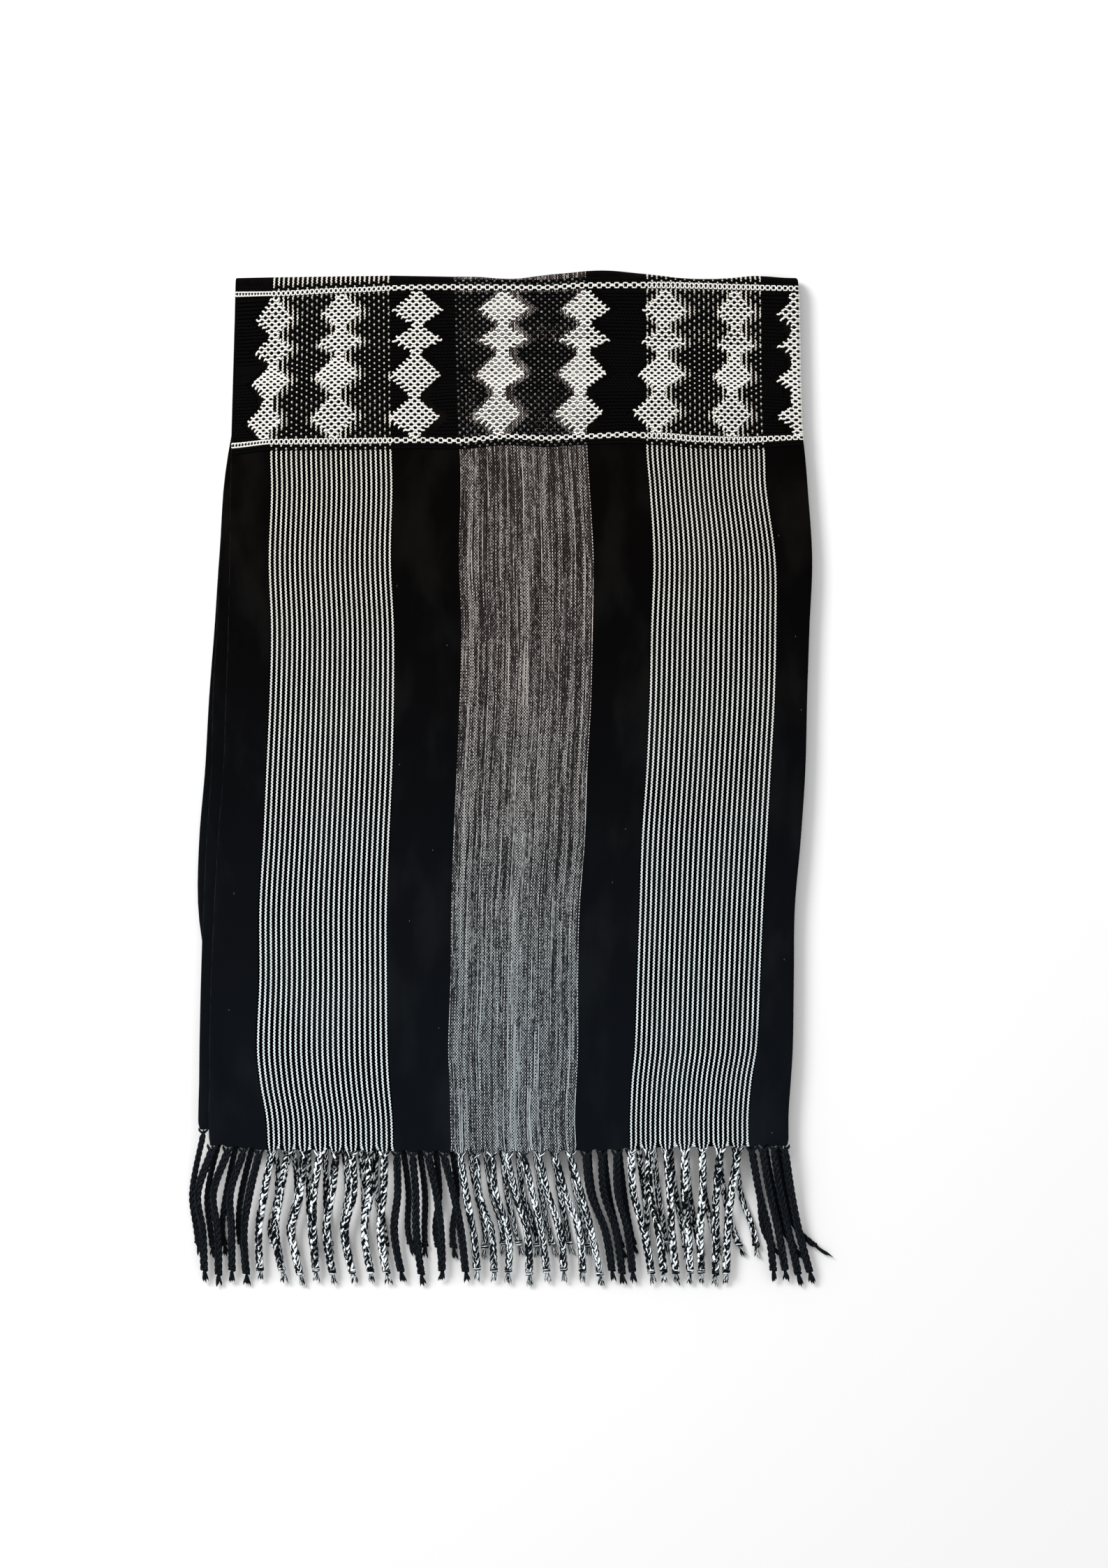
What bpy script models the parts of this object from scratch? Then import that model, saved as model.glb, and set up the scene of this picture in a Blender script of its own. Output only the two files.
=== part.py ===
"""A woven shawl, folded into a flat stack, with rows of braided fringe at its open end.

The cloth was folded in half along its length, so that its far side is the fold,
and then folded across into quarters with the far end rolled inside. The near end
lies on top, with its own fringe over the fringe of the half below it.
X runs across the stack to the fold, Y up the stack to the rolled end, Z is up.
"""
import bisect
import math
import random
from collections import namedtuple

import bmesh
import bpy

# Every size below is in millimetres. make_object turns a finished mesh to metres.
MM = 0.001
SEED = 7

# Cloth and the stack of layers, from the floor up
WALL = 1.2
GAP = 0.3
LAYER_STEP = WALL + GAP
HIDDEN_LAYERS = 5
HIDDEN_BOTTOM = LAYER_STEP
BACK_BOTTOM = HIDDEN_BOTTOM + HIDDEN_LAYERS * LAYER_STEP
BACK_TOP = BACK_BOTTOM + WALL
FRONT_TOP = BACK_TOP + GAP + WALL

# Outline of the stack: the rolled end, the two hems and the fold below them
HALF_WIDTH = 376.5
TOP_Y = 325.5
FRONT_DROP = 563.5
BACK_DROP = 550.0
UNDER_DROP = 543.0

# Radii of the outer face where the cloth turns over
ROLL_RADIUS = FRONT_TOP / 2
CURL_RADIUS = 2.85
LIP_RADIUS = 1.95
LIP_TUCK = 2.0
LIP_TURN = math.radians(98)
LIP_START = HALF_WIDTH - LIP_RADIUS
TUCK_REACH = 60.0
EAST_INSET = 2.6
HIDDEN_EAST_INSET = 4.2
NORTH_INSET = 1.2

# Faceting
ROLL_STEPS = 9
CURL_STEPS = 6
LIP_STEPS = 3
UNDER_STEPS = 9
PLAIN_FROM = 110.0
PLAIN_TO = 550.0

# The woven bands of the half width, as their starts and ends on the flat cloth
BANDS = ("edge", "pin1", "pin1_end", "marl", "marl_end", "pin2", "pin2_end", "fold")
BAND_S = (0.0, 27.0, 109.0, 150.5, 235.5, 272.5, 354.5, HALF_WIDTH)

# How the weft, the rolled end and the hem wander at each of those lines, up the stack
WEFT_RISE = (-3.6, -2.7, -0.5, -0.2, 1.8, 1.8, 0.5, 0.0)
ROLL_RISE = (3.6, 3.2, 2.1, 1.1, 1.4, 0.5, -1.4, 0.0)
HEM_RISE = (3.6, 0.0, -0.9, -1.4, -0.9, 0.5, 2.2, 3.2)
WEFT_REACH = 300.0
ROLL_REACH = 20.0
HEM_REACH = 110.0

# Where the lines run across the stack at each distance below the rolled end, and
# how far the second and third layers reach out past the front layer's edge
Station = namedtuple("Station", ("down",) + BANDS + ("second", "third"))
STATIONS = (
    Station(2, -179, -155.5, -79, -38.5, 47, 85, 160.5, 184, -1.5, -4),
    Station(92, -181.5, -157, -78, -36, 47.5, 85, 161.5, 186, -1, -4),
    Station(114, -182, -157.5, -77.5, -34.5, 48, 85, 163, 188.5, 2, -3),
    Station(137, -182.5, -157, -77, -34, 49.5, 87, 164, 190.5, 4.5, 3.5),
    Station(182, -183, -158.5, -78, -35, 52, 89.5, 170, 193, 6.5, 7),
    Station(227, -184, -157, -76, -33.5, 51.5, 88, 170.5, 191, 7.5, 9),
    Station(272, -185.5, -158, -76, -34.5, 50.5, 87, 169.5, 189.5, 8.5, 11),
    Station(317, -187, -160, -77, -36.5, 48, 85, 167, 188.5, 8, 12),
    Station(362, -190.5, -162, -79, -38.5, 46.5, 82, 164.5, 185.5, 7.5, 12.3),
    Station(407, -193, -164.5, -80.5, -40, 43, 80.5, 162, 181.5, 7, 10.5),
    Station(452, -195, -164.5, -80.5, -40.5, 42, 79, 160, 181, 6.5, 3),
    Station(497, -196, -166, -80, -42, 42, 77.5, 158, 180.5, 6.5, 2),
    Station(519, -196, -164, -79, -41, 41, 75.5, 154.5, 179.5, 6.7, 2),
    Station(542, -196.5, -160, -77, -40.5, 40, 74.5, 152.5, 178, 6.8, 2),
    Station(562, -196, -159, -76.5, -40, 41, 74.5, 152.5, 178, 6.8, 2),
)

# How far each hidden layer draws back from the one above it, at its open side and
# at its lower end, above the curl and beside it
LAYER_SETBACK = 0.9
HIDDEN_SOUTH = 2.5
CURLED_SOUTH = 7.1

# Soft swells of the front layer, in flat cloth lengths
Swell = namedtuple("Swell", "s down reach_s reach_down slant height")
SWELLS = (
    Swell(330, 190, 42, 60, 0.0, 1.6),
    Swell(348, 455, 16, 75, -0.18, 1.5),
    Swell(30, 500, 22, 60, 0.1, 1.3),
    Swell(205, 330, 60, 90, 0.1, 0.8),
)

# Brocaded diamonds of thick yarn, standing up from the cloth
DIAMOND_COLUMNS = (29.0, 74.0, 126.0, 182.0, 234.5, 285.0, 335.0, 379.0)
DIAMOND_HALF = 17.5
Diamond = namedtuple("Diamond", "top middle bottom")
DIAMOND_ROWS = (
    Diamond(9.5, 22.0, 32.0),
    Diamond(32.0, 42.0, 49.5),
    Diamond(49.5, 64.0, 77.5),
    Diamond(77.5, 90.0, 102.5),
)
DIAMOND_BORDER = 1.3
DIAMOND_RISE = 0.8

# Braids: flat plaits with a knot and a short tuft at the tip
BRAID_WIDTH = 5.2
BRAID_SPACING = 6.3
STRIP_DEPTH = 2.2
Section = namedtuple("Section", "share width thick")
KNOT_WIDTH = 5.9
LOOSE_SHARE = 0.42
ROOT_HALF = 0.4 * BRAID_WIDTH
STRIP_INSET = 0.6
SLOPE_STEP = 0.5
FACING_SOUTH = 0.7

# Places of the first and last braid of each band, where they leave the hem, at two
# lines across the fringe, and at their tips
Braids = namedtuple("Braids", "count root root_end mid mid_end low low_end tip tip_end")
FRONT_BRAIDS = (
    Braids(4, -194, -164, -203, -170, -200, -173, -200, -171),
    Braids(8, -156, -83, -160.5, -82, -166, -84, -161.5, -79),
    Braids(4, -75, -44.5, -75.5, -39, -76.5, -34, -70, -32),
    Braids(8, -34, 37, -31.5, 43, -25, 52, -25, 57),
    Braids(3, 47, 67, 49.5, 69, 59, 74, 65, 78),
    Braids(7, 76, 145, 79, 142, 85.5, 139, 90.5, 138),
    Braids(4, 154, 175, 159, 179.5, 165, 184.5, 169, 194),
)
BACK_BRAIDS = (
    Braids(4, -200, -166, -208, -175.5, -206, -178.5, -204.5, -173),
    Braids(7, -154.5, -88, -152.5, -87.5, -156.5, -85.5, -153, -82.5),
    Braids(4, -72.5, -40.5, -70, -36, -67.5, -40.5, -65, -37.5),
    Braids(7, -30, 34.5, -25, 39, -20, 46.5, -18, 50),
    Braids(3, 48, 67, 52.5, 71, 59, 76, 63.5, 80.5),
    Braids(7, 79.5, 142, 83, 145.5, 85, 154, 88, 160.5),
    Braids(3, 151.5, 171, 158, 177, 164, 186, 170.5, 206),
)
MID_DOWN = 591.0
LOW_DOWN = 616.0

# A row of fringe: its end, how its length varies, its knots and its heights
Fringe = namedtuple("Fringe", "strip_top end spread knot_thick braid_thick heights")
Height = namedtuple("Height", "down z")
FRONT_FRINGE = Fringe(
    FRONT_TOP, 651.5, 2.0, 4.2, 3.0,
    (Height(564, 11.1), Height(577, 10.2), Height(587, 8.9), Height(605, 7.6),
     Height(625, 6.7), Height(638, 6.2), Height(646, 4.0), Height(654, 1.8)),
)
BACK_FRINGE = Fringe(
    BACK_TOP, 634.0, 2.0, 3.4, 3.0,
    (Height(551, 9.6), Height(566, 7.2), Height(578, 4.3), Height(588, 2.7),
     Height(600, 2.3), Height(640, 2.3)),
)

BLACK = (0.010, 0.011, 0.013, 1.0)
CHARCOAL = (0.016, 0.018, 0.021, 1.0)
GREY_BLACK = (0.045, 0.045, 0.046, 1.0)


def smooth(knots, values, at):
    """A cubic through the values at the knots, level beyond both ends."""
    if at <= knots[0]:
        return values[0]
    if at >= knots[-1]:
        return values[-1]
    last = len(knots) - 1
    i = bisect.bisect_right(knots, at) - 1
    span = knots[i + 1] - knots[i]
    slopes = []
    for k in (i, i + 1):
        low, high = max(k - 1, 0), min(k + 1, last)
        slopes.append((values[high] - values[low]) / (knots[high] - knots[low]) * span)
    t = (at - knots[i]) / span
    return (values[i] * (2 * t**3 - 3 * t**2 + 1) + slopes[0] * (t**3 - 2 * t**2 + t)
            + values[i + 1] * (3 * t**2 - 2 * t**3) + slopes[1] * (t**3 - t**2))


def straight(knots, values, at):
    """Straight lines through the values at the knots, carried on past both ends."""
    i = min(max(bisect.bisect_right(knots, at) - 1, 0), len(knots) - 2)
    t = (at - knots[i]) / (knots[i + 1] - knots[i])
    return values[i] + (values[i + 1] - values[i]) * t


def fade(distance, reach):
    """One at no distance, falling softly to nothing at the reach."""
    t = min(max(1 - distance / reach, 0.0), 1.0)
    return t * t * (3 - 2 * t)


STATION_DOWNS = [row.down for row in STATIONS]


def station(name, down):
    """The named column of the stations, at a distance below the rolled end."""
    return smooth(STATION_DOWNS, [getattr(row, name) for row in STATIONS], down)


def cloth_x(s, down):
    """Where a point of the flat half width lies across the stack."""
    return straight(BAND_S, [station(name, down) for name in BANDS], s)


def swell(s, down):
    """Height of the front layer's soft swells over the flat stack."""
    height = 0.0
    for item in SWELLS:
        off_down = (down - item.down) / item.reach_down
        off_s = (s - item.s - item.slant * (down - item.down)) / item.reach_s
        height += item.height * math.exp(-2.0 * (off_s**2 + off_down**2))
    return height


def top_rise(s, down):
    """How far the weft and the rolled end wander up the stack at a place."""
    weft = straight(BAND_S, WEFT_RISE, s) * fade(down, WEFT_REACH)
    return weft + straight(BAND_S, ROLL_RISE, s) * fade(down - ROLL_RADIUS, ROLL_REACH)


# Distances along the wall, from the front hem round the roll to the curl
ROLL_V = FRONT_DROP - ROLL_RADIUS
UNDER_V = ROLL_V + math.pi * ROLL_RADIUS
UNDER_LENGTH = UNDER_DROP - CURL_RADIUS - ROLL_RADIUS
CURL_V = UNDER_V + UNDER_LENGTH


def over_the_fold(s, height, tuck):
    """Past the lip's start the cloth turns in: how far out it is, and its height."""
    past = s - LIP_START
    if past <= 0:
        return 0.0, height
    angle = min(past / LIP_RADIUS, LIP_TURN)
    run = max(past - LIP_RADIUS * LIP_TURN, 0.0) * tuck
    radius = LIP_RADIUS + height
    out = radius * math.sin(angle) + run * math.cos(angle)
    return out, radius * math.cos(angle) - LIP_RADIUS - run * math.sin(angle)


def wall_point(s, v, height):
    """A point of the outer cloth, from its place on the flat cloth and its height."""
    tuck = fade(v - (CURL_V - TUCK_REACH), TUCK_REACH)
    out, height = over_the_fold(s, height, tuck)
    s = min(s, LIP_START)
    if v <= ROLL_V:
        down = FRONT_DROP - v
        y = TOP_Y - down + top_rise(s, down)
        y += straight(BAND_S, HEM_RISE, s) * fade(FRONT_DROP - down, HEM_REACH)
        z = FRONT_TOP + height + swell(s, down)
    elif v <= UNDER_V:
        down = ROLL_RADIUS
        angle = (v - ROLL_V) / ROLL_RADIUS
        y = TOP_Y - ROLL_RADIUS + (ROLL_RADIUS + height) * math.sin(angle) + top_rise(s, down)
        z = ROLL_RADIUS + (ROLL_RADIUS + height) * math.cos(angle)
    elif v <= CURL_V:
        down = ROLL_RADIUS + v - UNDER_V
        y = TOP_Y - down + top_rise(s, down)
        z = -height
    else:
        down = UNDER_DROP
        angle = (v - CURL_V) / CURL_RADIUS
        y = TOP_Y - down + CURL_RADIUS - (CURL_RADIUS + height) * math.sin(angle)
        z = CURL_RADIUS - (CURL_RADIUS + height) * math.cos(angle)
    return cloth_x(s, down) + out, y, z


def wall_columns():
    """Lines across the flat cloth: the diamonds' tips and middles, and the lip."""
    columns = [0.0]
    for middle in DIAMOND_COLUMNS[:-1]:
        columns += [middle - DIAMOND_HALF, middle, middle + DIAMOND_HALF]
    columns += [DIAMOND_COLUMNS[-1] - DIAMOND_HALF, LIP_START]
    turn = LIP_RADIUS * LIP_TURN
    columns += [LIP_START + turn * (k + 1) / LIP_STEPS for k in range(LIP_STEPS)]
    columns.append(LIP_START + turn + LIP_TUCK)
    return columns


def wall_rows():
    """Lines along the wall, from the hem round to the curl's end."""
    downs = {FRONT_DROP, ROLL_RADIUS}
    downs.update(row.down for row in STATIONS if PLAIN_FROM < row.down < PLAIN_TO)
    for row in DIAMOND_ROWS:
        downs.update(row)
    rows = [FRONT_DROP - down for down in sorted(downs, reverse=True)]
    rows += [ROLL_V + math.pi * ROLL_RADIUS * (k + 1) / ROLL_STEPS for k in range(ROLL_STEPS)]
    rows += [UNDER_V + UNDER_LENGTH * (k + 1) / UNDER_STEPS for k in range(UNDER_STEPS)]
    rows += [CURL_V + math.pi * CURL_RADIUS * (k + 1) / CURL_STEPS for k in range(CURL_STEPS)]
    return rows


def grid_of(bm, columns, rows):
    """A flat grid with a line at each column and row, and its points by number."""
    across, along = len(columns) - 1, len(rows) - 1
    bmesh.ops.create_grid(bm, x_segments=across, y_segments=along, size=1.0)
    points = {}
    for vert in bm.verts:
        i = round((vert.co.x + 1) / 2 * across)
        j = round((vert.co.y + 1) / 2 * along)
        points[i, j] = vert
    for (i, j), vert in points.items():
        vert.co = (columns[i], rows[j], 0.0)
    return points


def cut_diamond(bm, points, i, top, middle, bottom):
    """One diamond cut from the grid around point (i, middle); the last is a half."""
    tips = [points[i, top], points[i - 1, middle], points[i, bottom]]
    centre = points[i, middle]
    whole = i + 1 < len(wall_columns()) - LIP_STEPS - 1
    if whole:
        tips.append(points[i + 1, middle])
    bmesh.ops.connect_verts(bm, verts=tips)
    if whole:
        bmesh.ops.dissolve_verts(bm, verts=[centre])
    else:
        spoke = [e for e in centre.link_edges if e.other_vert(centre) is tips[1]]
        bmesh.ops.dissolve_edges(bm, edges=spoke, use_verts=False)
    return next(f for f in tips[1].link_faces if tips[0] in f.verts and tips[2] in f.verts)


def raise_diamonds(bm, points, columns, rows):
    """Every diamond of the brocade, inset from its border and raised."""
    faces = []
    for middle_s in DIAMOND_COLUMNS:
        i = columns.index(min(middle_s, LIP_START))
        for row in DIAMOND_ROWS:
            numbers = [rows.index(FRONT_DROP - down) for down in row]
            faces.append(cut_diamond(bm, points, i, *numbers))
    bmesh.ops.inset_individual(
        bm, faces=faces, thickness=DIAMOND_BORDER, depth=DIAMOND_RISE, use_even_offset=True)


def thicken(bm, height):
    """A plain second face for a flat sheet, at one height, with edges between."""
    result = bmesh.ops.extrude_face_region(bm, geom=bm.faces[:])
    for item in result["geom"]:
        if isinstance(item, bmesh.types.BMVert):
            item.co.z = height


def outer_cloth():
    """The cloth that shows: front stretch, roll, underside and curl, in one wall."""
    bm = bmesh.new()
    columns, rows = wall_columns(), wall_rows()
    points = grid_of(bm, columns, rows)
    raise_diamonds(bm, points, columns, rows)
    thicken(bm, -WALL)
    for vert in bm.verts:
        vert.co = wall_point(*vert.co)
    return bm


# Points along each side of a stacked layer's outline
SOUTH_POINTS = 6
SIDE_POINTS = 15


def outline(south, north, west_out, east_inset, inset):
    """A layer's outline: south edge, fold side, north edge and open side, in order."""
    points = []
    for k in range(SOUTH_POINTS):
        points.append((k / SOUTH_POINTS, 0.0))
    for k in range(SIDE_POINTS):
        points.append((1.0, k / SIDE_POINTS))
    for k in range(SOUTH_POINTS):
        points.append((1.0 - k / SOUTH_POINTS, 1.0))
    for k in range(SIDE_POINTS):
        points.append((0.0, 1.0 - k / SIDE_POINTS))
    ring = []
    for u, w in points:
        y = (south + inset) + (north - inset - south - inset) * w
        down = TOP_Y - y
        west = station("edge", down) - west_out(down) + inset
        east = station("fold", down) - east_inset - inset
        ring.append((west + (east - west) * u, y))
    return ring


def stack(rings):
    """A closed solid through outlines that lie one above the other."""
    bm = bmesh.new()
    heights = sorted(rings)
    bmesh.ops.create_circle(bm, cap_ends=True, segments=len(rings[heights[0]]), radius=1.0)
    bm.verts.ensure_lookup_table()
    loop = [loop.vert for loop in bm.faces[:][0].loops]
    for vert, (x, y) in zip(loop, rings[heights[0]]):
        vert.co = (x, y, heights[0])
    cap = bm.faces[:][0]
    for number, height in enumerate(heights[1:]):
        result = bmesh.ops.extrude_face_region(bm, geom=[cap])
        if number:
            bmesh.ops.delete(bm, geom=[cap], context="FACES_ONLY")
        cap = next(f for f in result["geom"] if isinstance(f, bmesh.types.BMFace))
        for vert, (x, y) in zip([c.vert for c in cap.loops], rings[height]):
            vert.co = (x, y, height)
    return bm


EDGE_ROUND = 0.35


def back_half():
    """The half below the front layer, showing along the open side and at its hem."""
    def out(down):
        return station("second", down)

    south, north = TOP_Y - BACK_DROP, TOP_Y - ROLL_RADIUS - NORTH_INSET
    return stack({
        BACK_BOTTOM: outline(south, north, out, EAST_INSET, EDGE_ROUND),
        BACK_BOTTOM + WALL / 2: outline(south, north, out, EAST_INSET, 0.0),
        BACK_TOP: outline(south, north, out, EAST_INSET, EDGE_ROUND),
    })


def folded_layers():
    """The layers inside the stack, sharing one solid and grooved at their edges."""
    middle = HIDDEN_BOTTOM + (HIDDEN_LAYERS * LAYER_STEP - GAP) / 2
    half = middle - HIDDEN_BOTTOM
    rings = {}
    for layer in range(HIDDEN_LAYERS):
        top_layer = layer == HIDDEN_LAYERS - 1
        setback = LAYER_SETBACK * (HIDDEN_LAYERS - layer)
        over_curl = HIDDEN_BOTTOM + layer * LAYER_STEP > 2 * CURL_RADIUS
        south = TOP_Y - UNDER_DROP + (HIDDEN_SOUTH if over_curl else CURLED_SOUTH)

        def out(down, setback=setback, top_layer=top_layer):
            return station("third", down) if top_layer else -setback

        for part, inset in ((0.0, EDGE_ROUND), (0.5, 0.0), (1.0, EDGE_ROUND)):
            z = HIDDEN_BOTTOM + layer * LAYER_STEP + part * WALL
            bulge = math.sqrt(max(half**2 - (z - middle)**2, 0.0))
            north = TOP_Y - ROLL_RADIUS - NORTH_INSET + bulge
            rings[z] = outline(south, north, out, HIDDEN_EAST_INSET, inset)
    return stack(rings)


def spread(row, count_seed):
    """Each braid's places at the hem, the two lines and the tip, loosened by chance."""
    draw = random.Random(count_seed)
    braids = []
    for band in row:
        steps = max(band.count - 1, 1)
        pairs = ((band.root, band.root_end), (band.mid, band.mid_end),
                 (band.low, band.low_end), (band.tip, band.tip_end))
        for k in range(band.count):
            places = []
            for level, (first, last) in enumerate(pairs):
                room = max((last - first) / steps - BRAID_SPACING, 0.0) * LOOSE_SHARE
                loose = draw.uniform(-room, room) if level else 0.0
                places.append(first + (last - first) * k / steps + loose)
            braids.append(places)
    return braids


def strip_cells(roots, first, last):
    """Columns of the strip that the braids grow from: a cell for each root."""
    columns = [first]
    for root in roots:
        columns += [root - ROOT_HALF, root + ROOT_HALF]
    columns.append(last)
    return columns


def braid_path(places, root_down, end, fringe):
    """A braid's centre line, read at any distance below the rolled end."""
    knots = (root_down, MID_DOWN, LOW_DOWN, end)
    downs = [h.down for h in fringe.heights]
    heights = [h.z for h in fringe.heights]

    def at(down):
        return smooth(knots, places, down), TOP_Y - down, smooth(downs, heights, down)

    return at


def braid_sections(fringe):
    """Sections down a braid, with its knot and its tuft."""
    thick = fringe.braid_thick
    return (
        Section(0.05, 4.6, 2.0),
        Section(0.18, BRAID_WIDTH, thick),
        Section(0.33, BRAID_WIDTH, thick),
        Section(0.48, BRAID_WIDTH, thick),
        Section(0.64, BRAID_WIDTH, thick),
        Section(0.82, BRAID_WIDTH * 0.94, thick * 0.94),
        Section(0.88, KNOT_WIDTH, fringe.knot_thick),
        Section(0.925, 3.4, 2.2),
        Section(1.0, 4.8, 1.6),
    )


def grow_braid(bm, face, path, root_down, end, sections):
    """One braid pulled out of the strip's face, section by section."""
    for section in sections:
        face = bmesh.ops.extrude_discrete_faces(bm, faces=[face])["faces"][0]
        centre = face.calc_center_median()
        down = root_down + (end - root_down) * section.share
        x, y, z = path(down)
        ahead, behind = path(min(down + SLOPE_STEP, end)), path(down - SLOPE_STEP)
        run, drop = ahead[0] - behind[0], behind[1] - ahead[1]
        length = math.hypot(run, drop)
        across = (drop / length, run / length)
        for vert in face.verts:
            side = math.copysign(section.width / 2, vert.co.x - centre.x)
            lift = math.copysign(section.thick / 2, vert.co.z - centre.z)
            vert.co = (x + across[0] * side, y + across[1] * side, z + lift)


def fringe_row(row, fringe, root_y, first, last, seed):
    """A narrow strip along a hem, with every braid of the row fused to it."""
    bm = bmesh.new()
    braids = spread(row, seed)
    columns = strip_cells([places[0] for places in braids], first, last)
    grid_of(bm, columns, [-STRIP_DEPTH, 0.0])
    thicken(bm, -WALL)
    for vert in bm.verts:
        vert.co.y += root_y(vert.co.x) - GAP
        vert.co.z += fringe.strip_top
    bm.normal_update()
    bmesh.ops.recalc_face_normals(bm, faces=bm.faces[:])
    south = [f for f in bm.faces if f.normal.y < -FACING_SOUTH]
    south.sort(key=lambda f: f.calc_center_median().x)
    draw = random.Random(seed + 1)
    for places, face in zip(braids, south[1::2]):
        root_down = TOP_Y - root_y(places[0]) + GAP + STRIP_DEPTH
        end = fringe.end + draw.uniform(-fringe.spread, fringe.spread)
        path = braid_path(places, root_down, end, fringe)
        grow_braid(bm, face, path, root_down, end, braid_sections(fringe))
    return bm


def front_hem_y(x):
    """The front hem's line, found from a place across the stack."""
    lines = [station(name, FRONT_DROP) for name in BANDS]
    return TOP_Y - FRONT_DROP + straight(lines, HEM_RISE, x)


def front_fringe():
    """The front layer's row of braids."""
    first = station("edge", FRONT_DROP) + STRIP_INSET
    last = station("fold", FRONT_DROP) - STRIP_INSET
    return fringe_row(FRONT_BRAIDS, FRONT_FRINGE, front_hem_y, first, last, SEED)


def back_fringe():
    """The row of braids of the half below."""
    first = station("edge", BACK_DROP) - station("second", BACK_DROP) + STRIP_INSET
    last = station("fold", BACK_DROP) - EAST_INSET - STRIP_INSET
    return fringe_row(
        BACK_BRAIDS, BACK_FRINGE, lambda x: TOP_Y - BACK_DROP, first, last, SEED + 10)


def clear_scene():
    """Take away whatever objects the scene starts with."""
    for item in list(bpy.data.objects):
        bpy.data.objects.remove(item, do_unlink=True)


def make_material(name, colour, roughness):
    """A plain cotton finish."""
    material = bpy.data.materials.new(name)
    material.use_nodes = True
    shader = material.node_tree.nodes["Principled BSDF"]
    shader.inputs["Base Color"].default_value = colour
    shader.inputs["Roughness"].default_value = roughness
    shader.inputs["Metallic"].default_value = 0.0
    return material


def make_object(name, bm, material, collection):
    """Turn a finished solid from millimetres to metres and name it."""
    bmesh.ops.recalc_face_normals(bm, faces=bm.faces[:])
    bmesh.ops.scale(bm, vec=(MM, MM, MM), verts=bm.verts[:])
    mesh = bpy.data.meshes.new(name)
    bm.to_mesh(mesh)
    bm.free()
    mesh.materials.append(material)
    item = bpy.data.objects.new(name, mesh)
    collection.objects.link(item)
    return item


def main():
    clear_scene()
    collection = bpy.data.collections.new("folded_shawl")
    bpy.context.scene.collection.children.link(collection)
    cloth = make_material("woven_cloth", BLACK, 0.9)
    inner = make_material("inner_layers", CHARCOAL, 0.92)
    braid = make_material("braided_fringe", GREY_BLACK, 0.85)
    make_object("outer_cloth", outer_cloth(), cloth, collection)
    make_object("back_half", back_half(), cloth, collection)
    make_object("folded_layers", folded_layers(), inner, collection)
    make_object("fringe_front", front_fringe(), braid, collection)
    make_object("fringe_back", back_fringe(), braid, collection)


main()
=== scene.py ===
# %% [markdown]
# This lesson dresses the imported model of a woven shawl. The real one is a long cotton
# cloth, folded in half along its length and then across, laid down flat. Its hem ends
# in rows of braided fringe, and a band of thick-yarn diamonds runs below the top fold.
# The solids of the model stay for collision, and each piece here stands for one.

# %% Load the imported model
import math
import random

import bmesh
import bpy
import numpy as np
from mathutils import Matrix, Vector


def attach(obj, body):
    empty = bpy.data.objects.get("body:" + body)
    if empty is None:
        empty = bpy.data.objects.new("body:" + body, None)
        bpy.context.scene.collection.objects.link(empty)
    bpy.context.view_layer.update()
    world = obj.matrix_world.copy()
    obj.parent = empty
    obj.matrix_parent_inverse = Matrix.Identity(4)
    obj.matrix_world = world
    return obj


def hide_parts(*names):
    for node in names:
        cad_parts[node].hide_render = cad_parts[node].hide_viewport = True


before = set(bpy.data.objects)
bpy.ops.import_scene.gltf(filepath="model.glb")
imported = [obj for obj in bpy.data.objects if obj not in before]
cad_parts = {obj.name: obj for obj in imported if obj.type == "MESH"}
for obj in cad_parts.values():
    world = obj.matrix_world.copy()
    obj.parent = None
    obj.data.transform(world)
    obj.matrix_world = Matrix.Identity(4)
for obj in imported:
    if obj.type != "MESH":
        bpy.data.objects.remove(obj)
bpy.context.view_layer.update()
print("nodes:", ", ".join(sorted(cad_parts)))

# %% [markdown]
# A flat-lay picture is taken from straight above. The camera hangs over the middle of
# the picture, and its lens is worked out from one scale: how many millimetres of cloth
# one pixel of the picture covers. Sizes in this lesson are millimetres until a mesh is
# finished, so they read like a tailor's notes.

# %% Camera over the cloth
MM = 0.001
PICTURE_WIDTH, PICTURE_HEIGHT = 1587, 2245
PIXEL = 0.45
VIEW_CENTRE = (26.3, -1.4)
CLOTH_LEVEL = 11.7
CAMERA_HEIGHT = 1900.0
SENSOR = 36.0


def put_in_scene(name, data):
    """A new object in the scene, at the origin."""
    thing = bpy.data.objects.new(name, data)
    bpy.context.scene.collection.objects.link(thing)
    return thing


camera_data = bpy.data.cameras.new("overhead_camera")
camera_data.sensor_fit = "VERTICAL"
camera_data.sensor_height = SENSOR
camera_data.lens = SENSOR * CAMERA_HEIGHT / (PICTURE_HEIGHT * PIXEL)
camera = put_in_scene("overhead_camera", camera_data)
camera.location = Vector((*VIEW_CENTRE, CLOTH_LEVEL + CAMERA_HEIGHT)) * MM
bpy.context.scene.camera = camera
print(f"lens {camera_data.lens:.1f} mm over {PICTURE_WIDTH * PIXEL:.0f} mm of floor")

# %% [markdown]
# One large soft lamp from the upper left throws a short shadow to the lower right, and
# a bright even sky fills the rest. Black cotton shows its folds only by small changes
# of light, so the lamp sits low enough to graze the cloth.

# %% Soft light
LAMP_PLACE = (-1.15, 1.05, 1.35)
LAMP_SIZE = 0.9
LAMP_POWER = 34.0
SKY_STRENGTH = 0.72

lamp_data = bpy.data.lights.new("window_light", "AREA")
lamp_data.shape = "DISK"
lamp_data.size = LAMP_SIZE
lamp_data.energy = LAMP_POWER
lamp = put_in_scene("window_light", lamp_data)
lamp.location = LAMP_PLACE
lamp.rotation_euler = (-Vector(LAMP_PLACE)).to_track_quat("-Z", "Y").to_euler()

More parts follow.
